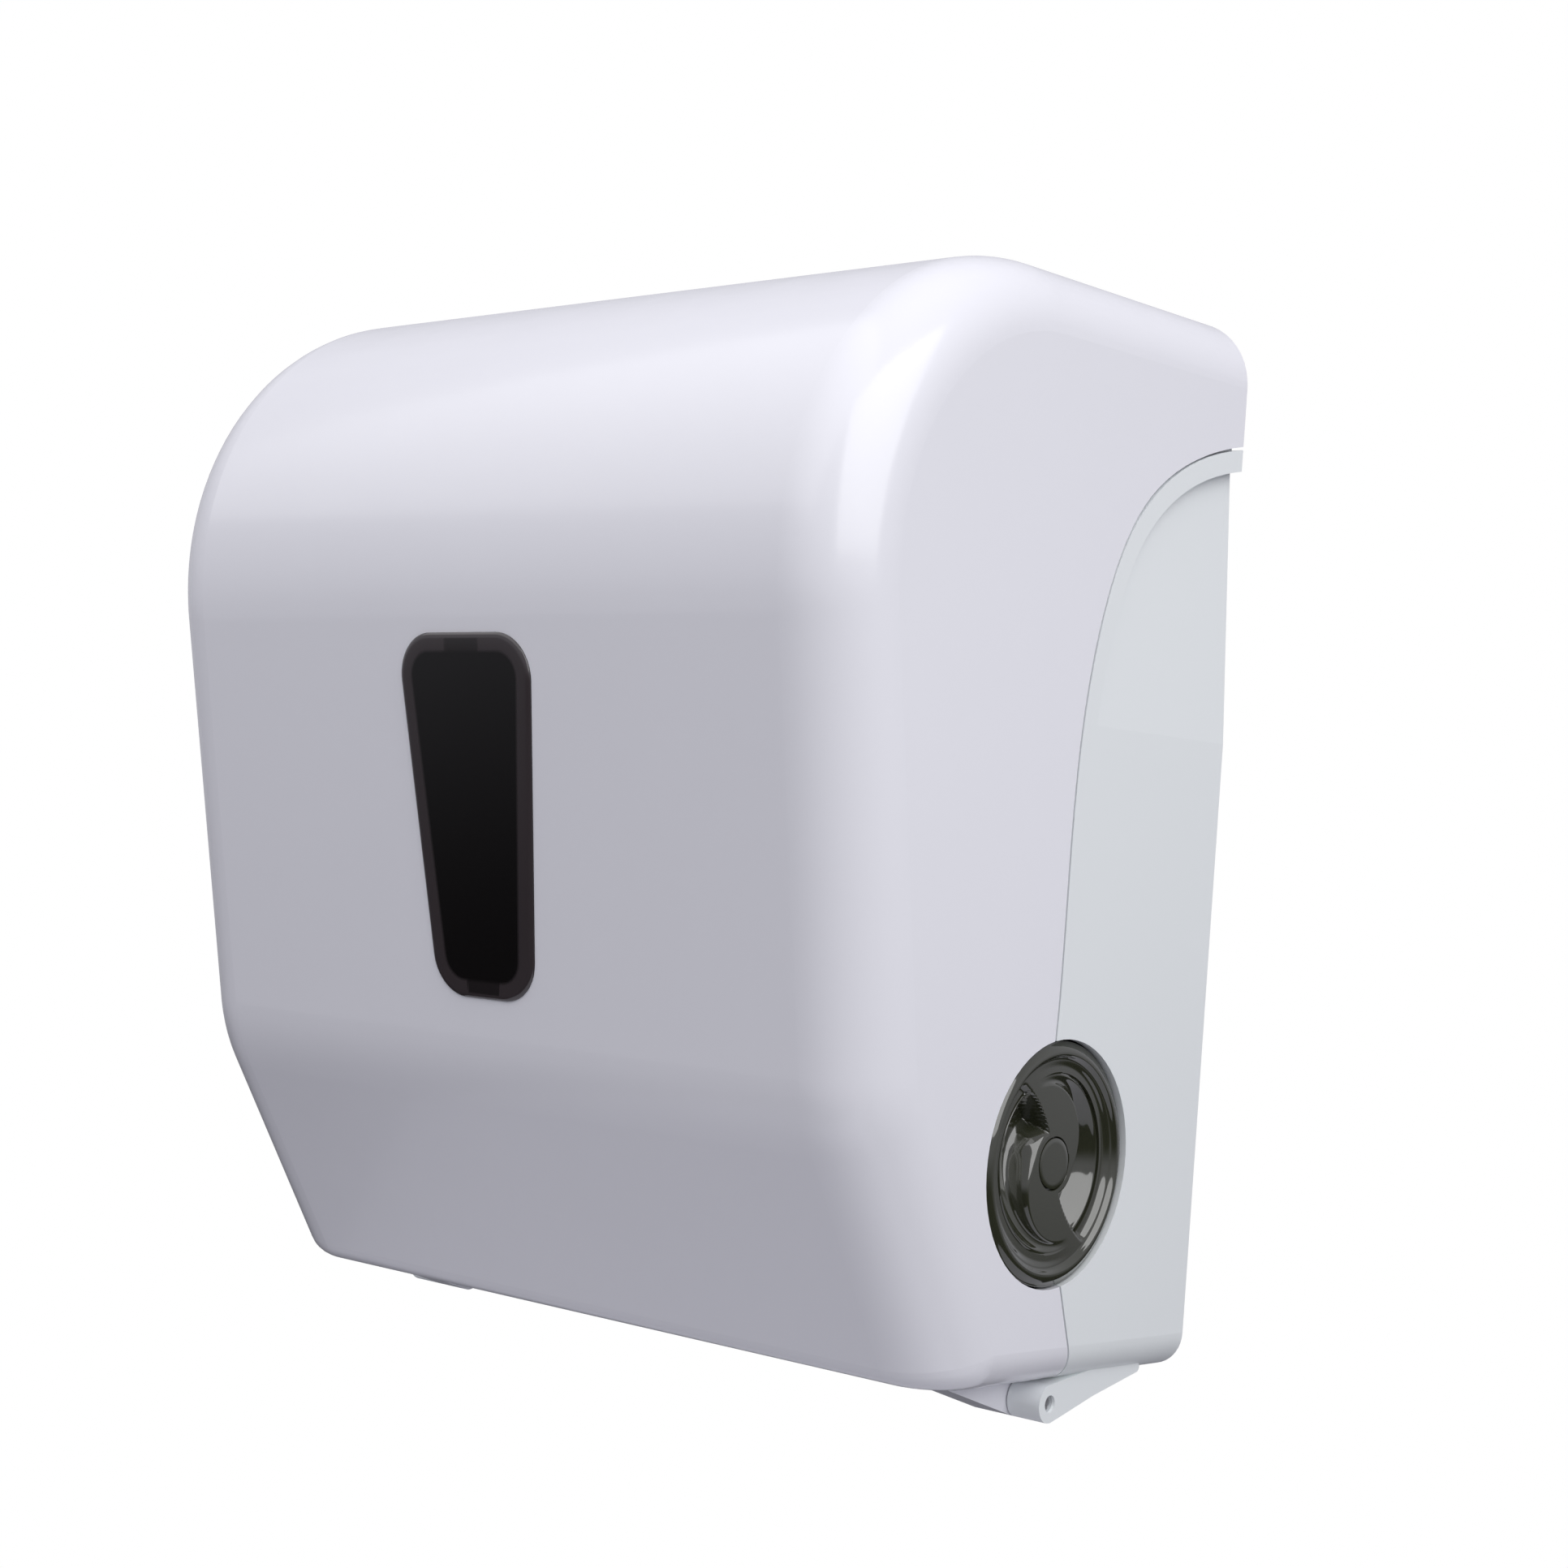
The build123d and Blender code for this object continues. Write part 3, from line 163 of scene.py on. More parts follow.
# Small helpers for meshes
def mesh_object(name, points, faces):
    """A mesh object at the origin with smooth faces."""
    data = bpy.data.meshes.new(name)
    data.from_pydata([tuple(p) for p in points], [], faces)
    data.validate()
    data.shade_smooth()
    made = bpy.data.objects.new(name, data)
    bpy.context.scene.collection.objects.link(made)
    return made


def rings_to_mesh(name, rings, close_start=True, close_end=True):
    """Joins closed rings of equal length and closes both ends."""
    count = len(rings[0])
    points = [p for ring in rings for p in ring]
    faces = []
    for r in range(len(rings) - 1):
        for n in range(count):
            m = (n + 1) % count
            faces.append((r * count + n, r * count + m, (r + 1) * count + m, (r + 1) * count + n))
    if close_start:
        faces.append(tuple(reversed(range(count))))
    if close_end:
        last = (len(rings) - 1) * count
        faces.append(tuple(range(last, last + count)))
    return mesh_object(name, points, faces)


def recalculate(made):
    """Turns all faces outwards."""
    work = bmesh.new()
    work.from_mesh(made.data)
    bmesh.ops.remove_doubles(work, verts=work.verts, dist=MERGE)
    bmesh.ops.recalc_face_normals(work, faces=work.faces)
    work.to_mesh(made.data)
    work.free()


def crease(made, degrees):
    """Keeps edges sharper than the angle as crisp lines."""
    made.data.set_sharp_from_angle(angle=math.radians(degrees))


def smooth_step(low, high, value):
    t = min(1.0, max(0.0, (value - low) / (high - low)))
    return t * t * (3 - 2 * t)


# Node helper and materials
def add_node(tree, kind, sockets=None, **settings):
    """Adds a node, sets it, and fills its sockets with values or links."""
    made = tree.nodes.new(kind)
    for key, value in settings.items():
        setattr(made, key, value)
    for key, value in (sockets or {}).items():
        if isinstance(value, bpy.types.NodeSocket):
            tree.links.new(value, made.inputs[key])
        else:
            made.inputs[key].default_value = value
    return made


def per_mm(size):
    """Noise scale on Object coordinates for spots of a size in millimetres."""
    return 1 / (size * MM)


def rgba(values, gain=1.0):
    return tuple(min(1.0, max(0.0, v * gain)) for v in values[:3]) + (1.0,)


GLOSS_SPOT = 0.31  # gloss patches, as a share of the spots of tone
GLOSS_SPREAD = (0.1, 0.9)  # noise values that reach the low and high roughness
RELIEF = 0.2 * MM  # height of the fine relief at full strength


def moulded(name, tint, rough, vary, spot_mm, grain_mm, grain, shader, stretch=(1, 1, 1)):
    """A surface with a slow tone change, a patchy gloss and a fine relief.
    tint is the middle colour, vary the share that the tone moves, rough a low and high value."""
    made = bpy.data.materials.new(name)
    made.use_nodes = True
    made.diffuse_color = rgba(tint)
    tree = made.node_tree
    tree.nodes.clear()
    out = add_node(tree, "ShaderNodeOutputMaterial")
    place = add_node(tree, "ShaderNodeTexCoord").outputs["Object"]
    mapped = add_node(tree, "ShaderNodeMapping", {"Vector": place, "Scale": stretch})
    where = mapped.outputs["Vector"]
    slow = add_node(tree, "ShaderNodeTexNoise",
                    {"Vector": place, "Scale": per_mm(spot_mm), "Detail": 2.0})
    mix = add_node(tree, "ShaderNodeMix", {0: slow.outputs["Fac"], 6: rgba(tint, 1 - vary),
                                           7: rgba(tint, 1 + vary)}, data_type="RGBA")
    patch = add_node(tree, "ShaderNodeTexNoise",
                     {"Vector": where, "Scale": per_mm(spot_mm * GLOSS_SPOT), "Detail": 1.0})
    gloss = add_node(tree, "ShaderNodeMapRange",
                     {"Value": patch.outputs["Fac"], "From Min": GLOSS_SPREAD[0],
                      "From Max": GLOSS_SPREAD[1], "To Min": rough[0], "To Max": rough[1]})
    fine = add_node(tree, "ShaderNodeTexNoise",
                    {"Vector": where, "Scale": per_mm(grain_mm), "Detail": 3.0})
    bump = add_node(tree, "ShaderNodeBump",
                    {"Height": fine.outputs["Fac"], "Strength": grain, "Distance": RELIEF})
    skin = add_node(tree, "ShaderNodeBsdfPrincipled",
                    {"Base Color": mix.outputs[2], "Roughness": gloss.outputs["Result"],
                     "Normal": bump.outputs["Normal"], **shader})
    tree.links.new(skin.outputs["BSDF"], out.inputs["Surface"])
    return made, tree, skin, mix


def cover_abs(look):
    """ABS from a polished mould: bright white with a crisp, slightly wavy shine."""
    return moulded("abs_polished_cover", look.cover, (0.17, 0.25), 0.008, 60, 9, 0.05,
                   {"IOR": 1.53, "Coat Weight": 0.25, "Coat Roughness": 0.06,
                    "Subsurface Weight": 0.04, "Subsurface Radius": (0.002, 0.002, 0.002)})[0]


def housing_abs(look):
    """ABS from a less polished mould: a cooler white with a broader shine."""
    return moulded("abs_satin_housing", look.housing, (0.26, 0.36), 0.008, 50, 5, 0.06,
                   {"IOR": 1.53, "Coat Weight": 0.1, "Coat Roughness": 0.12})[0]


def holder_plastic(look):
    """Injection moulded light grey plastic with a faint texture, so its shine is dull."""
    return moulded("moulded_grey_holder", look.holder, (0.38, 0.5), 0.03, 30, 1.2, 0.16,
                   {"IOR": 1.5})[0]


def mechanism_acetal(look):
    """Moulded acetal: a waxy mid grey that takes soft highlights."""
    return moulded("acetal_mechanism", look.mechanism, (0.34, 0.46), 0.05, 26, 1.5, 0.14,
                   {"IOR": 1.48})[0]


def natural_acetal(name, look):
    """Unpigmented acetal: creamy, a little translucent and slippery looking."""
    return moulded(name, look.natural, (0.28, 0.4), 0.03, 18, 1.5, 0.1,
                   {"IOR": 1.48, "Subsurface Weight": 0.12,
                    "Subsurface Radius": (0.003, 0.0025, 0.002)})[0]


def drum_plastic(look):
    """Glass-filled moulding: near black, with a dry, slightly streaked face."""
    return moulded("glass_filled_drum", look.drum, (0.42, 0.56), 0.14, 22, 1.1, 0.24,
                   {"IOR": 1.5}, (0.25, 1, 1))[0]


def hub_acetal(look):
    """Blue grey acetal, smooth where the roll's core turns on it."""
    return moulded("acetal_hub", look.hub, (0.28, 0.42), 0.06, 16, 1.4, 0.1, {"IOR": 1.48})[0]


def grip_rubber(name, look, gain):
    """Soft rubber: matte, with fine pits and dust-grey high spots."""
    tint = [c * gain for c in look.rubber]
    return moulded(name, tint, (0.68, 0.84), 0.16, 14, 0.7, 0.4,
                   {"IOR": 1.5, "Sheen Weight": 0.12, "Sheen Roughness": 0.5})[0]


def turned_steel(look):
    """Turned steel: fine lathe lines across the axis break up the highlight."""
    return moulded("turned_steel", look.steel, (0.2, 0.36), 0.06, 10, 0.5, 0.22,
                   {"Metallic": 1.0}, (9, 1, 1))[0]


def ground_blade(look):
    """Ground stainless strip: long grinding lines along the blade."""
    return moulded("ground_stainless_blade", [c * 1.06 for c in look.steel], (0.16, 0.3), 0.05,
                   12, 0.6, 0.2, {"Metallic": 1.0}, (0.08, 1, 1))[0]


def spring_wire(look):
    """Drawn spring wire: darker steel with a faint oil film."""
    return moulded("drawn_spring_wire", [c * 0.62 for c in look.steel], (0.24, 0.38), 0.08,
                   8, 0.6, 0.12, {"Metallic": 1.0})[0]


def plated_zinc(look):
    """Nickel plated die casting: smooth and mirror-like with slight ripple."""
    return moulded("nickel_plated_zinc", [c * 1.04 for c in look.steel], (0.08, 0.16), 0.03,
                   8, 2.0, 0.08, {"Metallic": 1.0})[0]


def knob_smoke(look):
    """Smoked clear plastic over dark: deep green black with a wet, sharp shine."""
    return moulded("smoked_green_knob", look.tint, (0.06, 0.12), 0.1, 24, 14, 0.03,
                   {"IOR": 1.58, "Coat Weight": 0.8, "Coat Roughness": 0.03,
                    "Specular IOR Level": 0.7})[0]


def window_smoke(look):
    """Smoked styrene lens: brown black and mirror smooth, with painted light and shade: paler in the
    edge band over the white flange, darker in the middle over the shaded inside.
    """
    made, tree, skin, mix = moulded("smoked_styrene_window", look.edge, (0.05, 0.1), 0.08, 30,
                                    20, 0.02, {"IOR": 1.57, "Coat Weight": 0.4,
                                               "Coat Roughness": 0.02})
    # painted shade: the attribute mixes in the dark middle colour where the shaded inside is seen
    # through the lens
    inside_shade = add_node(tree, "ShaderNodeAttribute", attribute_name="painted_inside_shade")
    blend = add_node(tree, "ShaderNodeMix", {0: inside_shade.outputs["Fac"], 6: mix.outputs[2],
                                             7: rgba(look.middle)}, data_type="RGBA")
    tree.links.new(blend.outputs[2], skin.inputs["Base Color"])
    return made


def make_materials():
    scene = bpy.context.scene
    case, gear = scene.case_look, scene.gear_look
    return {
        "cover_white": cover_abs(case),
        "housing_white": housing_abs(case),
        "holder_grey": holder_plastic(case),
        "smoke_plastic": window_smoke(scene.window_look),
        "knob_smoke": knob_smoke(scene.knob_look),
        "mechanism_grey": mechanism_acetal(gear),
        "bush_plastic": natural_acetal("natural_acetal", gear),
        "drum_dark": drum_plastic(gear),
        "hub_plastic": hub_acetal(gear),
        "band_rubber": grip_rubber("grip_rubber_bands", gear, 1.0),
        "sleeve_rubber": grip_rubber("grip_rubber_sleeves", gear, 1.5),
        "steel": turned_steel(gear),
        "blade_steel": ground_blade(gear),
        "spring_steel": spring_wire(gear),
        "lock_metal": plated_zinc(gear),
    }


def material_of(slot):
    """The material made for a slot of the record."""
    return bpy.data.materials[bpy.context.scene["slot_materials"][slot]]


def wear(made, slot):
    made.data.materials.clear()
    made.data.materials.append(material_of(slot))
    return made


# Geometry Nodes
def node_tree(name, numbers):
    """A geometry tree with named inputs, ready for its nodes."""
    tree = bpy.data.node_groups.new(name, "GeometryNodeTree")
    tree.interface.new_socket("Geometry", in_out="INPUT", socket_type="NodeSocketGeometry")
    for key, (kind, default) in numbers.items():
        made = tree.interface.new_socket(key, in_out="INPUT", socket_type=kind)
        if default is not None:
            made.default_value = default
    tree.interface.new_socket("Geometry", in_out="OUTPUT", socket_type="NodeSocketGeometry")
    return tree, add_node(tree, "NodeGroupInput"), add_node(tree, "NodeGroupOutput")


def end_tree(tree, given, out, geometry):
    """Makes instances real, gives them the finish and ends the tree."""
    real = add_node(tree, "GeometryNodeRealizeInstances", {"Geometry": geometry})
    done = add_node(tree, "GeometryNodeSetMaterial", {
        "Geometry": real.outputs["Geometry"], "Material": given.outputs["Finish"]})
    tree.links.new(done.outputs["Geometry"], out.inputs["Geometry"])
    return tree


def grown(name, tree, values):
    """Runs a geometry tree with its inputs set and returns the result as a plain mesh."""
    holder = mesh_object(name, [], [])
    modifier = holder.modifiers.new("grow", "NODES")
    modifier.node_group = tree
    for item in tree.interface.items_tree:
        if item.item_type == "SOCKET" and item.in_out == "INPUT" and item.name in values:
            modifier[item.identifier] = values[item.name]
    depsgraph = bpy.context.evaluated_depsgraph_get()
    data = bpy.data.meshes.new_from_object(holder.evaluated_get(depsgraph))
    holder.modifiers.remove(modifier)
    holder.data = data
    data.name = name
    if not data.polygons:
        raise RuntimeError(f"{name} came out empty")
    return holder


TURN_STEPS = 18  # straight pieces in one turn of a coil
WIRE_SIDES = 8


def coil_tree():
    """A round wire wound along +Z, as a closed coil spring is."""
    tree, given, out = node_tree("wound_coil", {
        "Turns": ("NodeSocketFloat", 10.0), "Radius": ("NodeSocketFloat", 0.003),
        "Length": ("NodeSocketFloat", 0.02), "Wire": ("NodeSocketFloat", 0.0009),
        "Finish": ("NodeSocketMaterial", None)})
    spiral = add_node(tree, "GeometryNodeCurveSpiral", {
        "Resolution": TURN_STEPS, "Rotations": given.outputs["Turns"],
        "Start Radius": given.outputs["Radius"], "End Radius": given.outputs["Radius"],
        "Height": given.outputs["Length"]})
    half = add_node(tree, "ShaderNodeMath", {0: given.outputs["Wire"], 1: 0.5},
                    operation="MULTIPLY")
    section = add_node(tree, "GeometryNodeCurvePrimitiveCircle",
                       {"Resolution": WIRE_SIDES, "Radius": half.outputs[0]})
    tube = add_node(tree, "GeometryNodeCurveToMesh", {
        "Curve": spiral.outputs["Curve"], "Profile Curve": section.outputs["Curve"],
        "Fill Caps": True})
    return end_tree(tree, given, out, tube.outputs["Mesh"])


def rib_tree():
    """Short ribs along X, set round a circle in the YZ plane."""
    tree, given, out = node_tree("ribs_round_drum", {
        "Count": ("NodeSocketInt", 64), "Radius": ("NodeSocketFloat", 0.0386),
        "Width": ("NodeSocketFloat", 0.009), "Thickness": ("NodeSocketFloat", 0.0009),
        "Rise": ("NodeSocketFloat", 0.0005), "Finish": ("NodeSocketMaterial", None)})
    ring = add_node(tree, "GeometryNodeMeshCircle", {
        "Vertices": given.outputs["Count"], "Radius": given.outputs["Radius"]})
    spin = add_node(tree, "GeometryNodeTransform", {
        "Geometry": ring.outputs["Mesh"], "Rotation": (0.0, math.pi / 2, 0.0)})
    size = add_node(tree, "ShaderNodeCombineXYZ", {
        "X": given.outputs["Width"], "Y": given.outputs["Thickness"], "Z": given.outputs["Rise"]})
    rib = add_node(tree, "GeometryNodeMeshCube", {"Size": size.outputs["Vector"]})
    place = add_node(tree, "GeometryNodeInputPosition")
    turn = add_node(tree, "FunctionNodeAlignRotationToVector",
                    {"Vector": place.outputs["Position"]}, axis="Z", pivot_axis="X")
    spread = add_node(tree, "GeometryNodeInstanceOnPoints", {
        "Points": spin.outputs["Geometry"], "Instance": rib.outputs["Mesh"],
        "Rotation": turn.outputs["Rotation"]})
    return end_tree(tree, given, out, spread.outputs["Instances"])


# Pieces
class DISPENSER_OT_nodes(bpy.types.Operator):
    """Give every CAD node the finish of its slot"""
    bl_idname = "dispenser.nodes"
    bl_label = "Finish the CAD nodes"

    def execute(self, context):
        made = make_materials()
        context.scene["slot_materials"] = {slot: m.name for slot, m in made.items()}
        for entry in frame["record"]["subparts"]:
            wear(frame["nodes"][entry["node"]], entry["material_slot"])
        return {"FINISHED"}


def window_point(look, across, up, out):
    """A place on the window's leaning plane, in the row's frame."""
    middle = (look.low_z + look.top_z) / 2 + FOOT
    s, c = math.sin(look.lean), math.cos(look.lean)
    return (across, -look.depth - up * s - out * c, middle + up * c - out * s)


def window_line(look, grow, steps=18, side_steps=26):
    """The tapered window's outline with round corners, grown or shrunk by an amount."""
    half = (look.top_z - look.low_z) / 2 / math.cos(look.lean) + grow
    low, top, radius = look.half_low + grow, look.half_top + grow, look.corner + grow
    lean = math.atan2(top - low, 2 * half)
    points = []
    # corner centres, found from the two sides that meet there
    spread = radius * math.cos(lean)
    slope = (top - low) / (2 * half)
    up = half - radius
    upper_x = low + slope * (up + half) - spread - radius * math.sin(lean) * slope
    lower_x = low + slope * (half - up) - spread - radius * math.sin(lean) * slope
    corners = [((upper_x, up), 90, -math.degrees(lean)),
               ((lower_x, -up), -math.degrees(lean), -90),
               ((-lower_x, -up), -90, -180 + math.degrees(lean)),
               ((-upper_x, up), 180 + math.degrees(lean), 90)]
    for n, ((x, y), start, end) in enumerate(corners):
        for k in range(steps + 1):
            a = math.radians(start + (end - start) * k / steps)
            points.append((x + radius * math.cos(a), y + radius * math.sin(a)))
        (next_x, next_y), next_start, _ = corners[(n + 1) % len(corners)]
        turn = math.radians(next_start)
        here = Vector(points[-1])
        there = Vector((next_x + radius * math.cos(turn), next_y + radius * math.sin(turn)))
        for k in range(1, side_steps):
            points.append(tuple(here.lerp(there, k / side_steps)))
    return points


class DISPENSER_OT_window(bpy.types.Operator):
    """Smoked lens with a rounded proud edge, a thick band and a flange behind the cover"""
    bl_idname = "dispenser.window"
    bl_label = "Window"

    def execute(self, context):
        look = context.scene.window_look
        proud, band, behind = look.proud, look.band, look.wall
        flange, flange_wall, pane = 3.0 * MM, 1.5 * MM, 1.4 * MM
        seat = 0.1 * MM  # play between the flange and the back of the cover
        soft = 1.8 * MM  # width of the rounded edge, wide enough to carry a line of light
        # painted shade: the band is darkened over this width where a clip behind the lens shows dark
        clip_half = 6.5 * MM  # half width of the dark clip seen at each end of the band
        # amount grown, height above the cover, share of painted shade for the dark inside seen through
        # it
        profile = [(-band - 2.4 * MM, proud, 1.0), (-band - 0.6 * MM, proud, 1.0),
                   (-band + 0.5 * MM, proud, 0.0)]
        steps = 6
        for k in range(steps + 1):
            a = math.pi / 2 * k / steps
            profile.append((soft * (math.sin(a) - 1), proud * (0.1 + 0.9 * math.cos(a)), 0.0))
        profile += [(0, -behind, 0), (flange, -behind - seat, 0),
                    (flange, -behind - flange_wall, 0), (-band, -behind - flange_wall, 0),
                    (-band, -pane, 0.6)]
        rings, painted_shades = [], []
        for grow, out, shade in profile:
            line = window_line(look, grow)
            rings.append([window_point(look, x, y, out) for x, y in line])
            # painted shade on the band where a clip behind the lens shows dark
            on_band = -band - 1 * MM < grow < -soft * 0.9 and out > 0
            painted_shades += [max(shade, 0.7) if on_band and abs(x) < clip_half else shade
                       for x, y in line]
        lens = rings_to_mesh("window_lens", rings)
        # painted shade stored per point: the share of the dark middle colour that stands for the
        # inside seen through the lens
        mark = lens.data.attributes.new("painted_inside_shade", "FLOAT", "POINT")
        mark.data.foreach_set("value", painted_shades)
        recalculate(lens)
        crease(lens, 38)
        wear(lens, "smoke_plastic")
        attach(lens, "cover")
        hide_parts("window")
        return {"FINISHED"}


# The knob's face: rings are shares of its radius, and angles start at the rear
CAP_STEP = (0.212, 0.222)
CAP_DROP = 1.2 * MM
LIP_RISE = (0.85, 0.895)
LIP_FLAT = 0.012
LIP_FALL = 1.3 * MM
SCOOP_RINGS = (0.255, 0.735)
SCOOP_SWEEP = math.radians(172)
SCOOP_HELD = 0.30  # share of the sweep before a scoop starts to rise out
WALL_ANGLE = math.radians(109)
WALL_LEAN = math.radians(15)
WALL_RINGS = (0.24, 0.76)
LEDGE_END = (0.79, 0.845)
LEDGE_DROP = 1.5 * MM
RIDGE_RING = 0.70
RIDGE_WIDTH = 0.018
RIDGE_RISE = 0.55 * MM


def lip_height(look, share):
    """The flat web, the rise to the rounded lip and the fall to the outer edge."""
    if share < LIP_RISE[1]:
        return -look.web * (1 - smooth_step(*LIP_RISE, share))
    return -LIP_FALL * smooth_step(LIP_RISE[1] + LIP_FLAT, 1.0, share) ** 1.3


def scoop_height(look, share, angle):
    """One finger scoop: it starts at a steep wall and rises out along its sweep."""
    across = (share - WALL_RINGS[0]) / (WALL_RINGS[1] - WALL_RINGS[0])
    swept = (angle - WALL_ANGLE - WALL_LEAN * across) % FULL_TURN / SCOOP_SWEEP
    if swept >= 1.0:
        return 0.0
    rising = smooth_step(SCOOP_HELD, 1.0, swept)
    fade = (1 - rising) * smooth_step(0.0, 0.02, swept)
    inner, outer = SCOOP_RINGS[0] + 0.05 * swept + 0.36 * rising, SCOOP_RINGS[1]
    height = 0.0
    if inner < share < outer:
        place = (share - inner) / (outer - inner)
        floor = 1 - 0.75 * smooth_step(0.45, 1.0, place) ** 1.2
        height -= look.scoop * fade * smooth_step(0.0, 0.32, place) * floor
    # a ledge between the scoop and the lip, with a low ridge at its inner edge
    ledge = smooth_step(inner + 0.02, inner + 0.1, share) * (1 - smooth_step(*LEDGE_END, share))
    height -= LEDGE_DROP * fade * ledge * smooth_step(outer - 0.03, outer, share)
    ridge = math.exp(-((share - RIDGE_RING) / RIDGE_WIDTH) ** 2)
    return height + RIDGE_RISE * ridge * fade


def knob_height(look, r, angle):
    """Height of the knob's face against its lip, at a radius and an angle."""
    share = r / look.radius
    if share < CAP_STEP[1]:
        return -look.web - CAP_DROP * (1 - smooth_step(*CAP_STEP, share))
    return lip_height(look, share) + sum(scoop_height(look, share, angle - turn)
                                         for turn in (0.0, math.pi))


class DISPENSER_OT_knob(bpy.types.Operator):
    """Smoked knob with a rounded lip, two stepped finger scoops and a centre cap"""
    bl_idname = "dispenser.knob"
    bl_label = "Knob"

    def execute(self, context):
        look = context.scene.knob_look
        columns, steps_out, steps_back = 300, 150, 40
        centre, boss, bore = 0.3 * MM, 10 * MM, 4.1 * MM
        radii = [centre] + [look.radius * k / steps_out for k in range(4, steps_out)]
        # more rings where the face bends sharply
        radii += [look.radius * s for s in (0.213, 0.2175, 0.222, 0.89, 0.895, 0.9, 0.907, 0.993)]
        radii.sort()
        depth = look.face_x - look.back_x

        def ring(r, height_of):
            angles = [FULL_TURN * n / columns for n in range(columns)]
            return [(look.face_x + height_of(r, a), look.centre_y + r * math.cos(a),
                     look.centre_z + FOOT + r * math.sin(a)) for a in angles]

        front = [ring(r, lambda r, a: knob_height(look, r, a)) for r in radii]
        front.append(ring(look.radius - 0.05 * MM, lambda r, a: -LIP_FALL - 0.15 * MM))
        front.append(ring(look.radius, lambda r, a: -LIP_FALL - 0.7 * MM))
        skirt = [ring(look.radius, lambda r, a: -depth),
                 ring(look.radius - look.shell, lambda r, a: -depth)]
        inner = look.radius - look.shell - 0.2 * MM
        roof = -LIP_FALL - look.shell
        back = [ring(inner, lambda r, a: roof - 0.9 * MM)]
        for k in range(1, steps_back + 1):
            r = inner - (inner - boss) * k / steps_back
            back.append(ring(r, lambda r, a: min(roof, knob_height(look, r, a) - look.shell)))
        back += [ring(boss, lambda r, a: -depth), ring(bore, lambda r, a: -depth)]
        knob = rings_to_mesh("knob_grip", front + skirt + back)
        recalculate(knob)
        crease(knob, 50)
        wear(knob, "knob_smoke")
        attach(knob, "drum")
        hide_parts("knob")

        # cap that hides the screw, level with the face; the step round it shows as a ring
        lift = 0.05 * MM
        section = [(0.2, 0.0), (0.8, 0.0), (0.955, 0.0), (0.99, -0.1 * MM), (1.0, -0.32 * MM),
                   (1.0, -1.15 * MM), (0.2, -1.15 * MM)]
        rings = [ring(look.cap * s, lambda r, a, h=h: -look.web + lift + h)
                 for s, h in section]
        cap = rings_to_mesh("knob_centre_cap", rings)
        recalculate(cap)
        crease(cap, 50)
        wear(cap, "knob_smoke")
        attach(cap, "drum")
        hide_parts("knob_cap")
        return {"FINISHED"}


def place_mesh(made, matrix):
    made.data.transform(matrix)
    made.data.shade_smooth()
    made.data.update()


class DISPENSER_OT_springs(bpy.types.Operator):
    """Wound drive spring between the crank and its anchor, and the left arm's spring"""
    bl_idname = "dispenser.springs"
    bl_label = "Springs"

    def execute(self, context):
        look = context.scene.gear_look
        low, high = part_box("drive_spring")
        middle = (low + high) / 2
        anchor = Vector((middle.x, look.anchor_y, look.anchor_z + FOOT))
        pin = 2 * middle - anchor
        along = (pin - anchor).normalized()
        reach = (pin - anchor).length
        radius = look.spring_radius
        neck = 0.75 * MM  # straight wire between a hook and the coil
        coil = reach - 2 * (radius + neck)
        finish = material_of("spring_steel")
        spring = grown("drive_coil", coil_tree(), {
            "Turns": float(look.spring_turns), "Radius": radius - look.spring_wire / 2,
            "Length": coil, "Wire": look.spring_wire, "Finish": finish})
        turn = Vector((0, 0, 1)).rotation_difference(along).to_matrix().to_4x4()
        start = anchor + along * (radius + neck)
        place_mesh(spring, Matrix.Translation(start) @ turn)
        wear(spring, "spring_steel")
        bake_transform(spring)
        # hook at each end, a ring round its post with a short neck
        for name, centre, body in (("drive_hook_anchor", anchor, "housing"),
                                   ("drive_hook_crank", pin, "drum")):
            hook = hook_mesh(name, centre, along if body == "housing" else -along,
                             radius - look.spring_wire / 2 + 0.05 * MM, look.spring_wire / 2)
            wear(hook, "spring_steel")
            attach(hook, body)
        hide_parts("drive_spring")

        low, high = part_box("arm_spring")
        wire, turns = 0.8 * MM, 6.0
        arm = grown("arm_coil", coil_tree(), {
            "Turns": turns, "Radius": (high.x - low.x) / 2 - wire / 2,
            "Length": high.z - low.z - wire, "Wire": wire, "Finish": finish})
        middle = (low + high) / 2
        place_mesh(arm, Matrix.Translation((middle.x, middle.y, low.z + wire / 2)))
        wear(arm, "spring_steel")
        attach(arm, "housing")
        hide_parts("arm_spring")
        return {"FINISHED"}


def hook_mesh(name, centre, along, radius, wire):
    """A wire ring round the X axis with a neck towards the coil."""
    across = Vector((1, 0, 0))
    around, neck = 32, 2.6 * MM
    points, faces = [], []

    def section(centre_line, out):
        for k in range(WIRE_SIDES):
            b = FULL_TURN * k / WIRE_SIDES
            points.append(centre_line + wire * (out * math.cos(b) + across * math.sin(b)))

    for n in range(around):
        a = FULL_TURN * n / around
        out = Vector((0, math.cos(a), math.sin(a)))
        section(centre + out * radius, out)
        for k in range(WIRE_SIDES):
            here, there = n * WIRE_SIDES, (n + 1) % around * WIRE_SIDES
            q = (k + 1) % WIRE_SIDES
            faces.append((here + k, there + k, there + q, here + q))
    start = len(points)
    end = start + WIRE_SIDES
    side = along.cross(across).normalized()
    for reach in (radius, radius + neck):
        section(centre + along * reach, side)
    for k in range(WIRE_SIDES):
        q = (k + 1) % WIRE_SIDES
        faces.append((start + k, start + q, end + q, end + k))
    faces += [tuple(start + k for k in reversed(range(WIRE_SIDES))),
              tuple(end + k for k in range(WIRE_SIDES))]
    made = mesh_object(name, points, faces)
    recalculate(made)
    return made


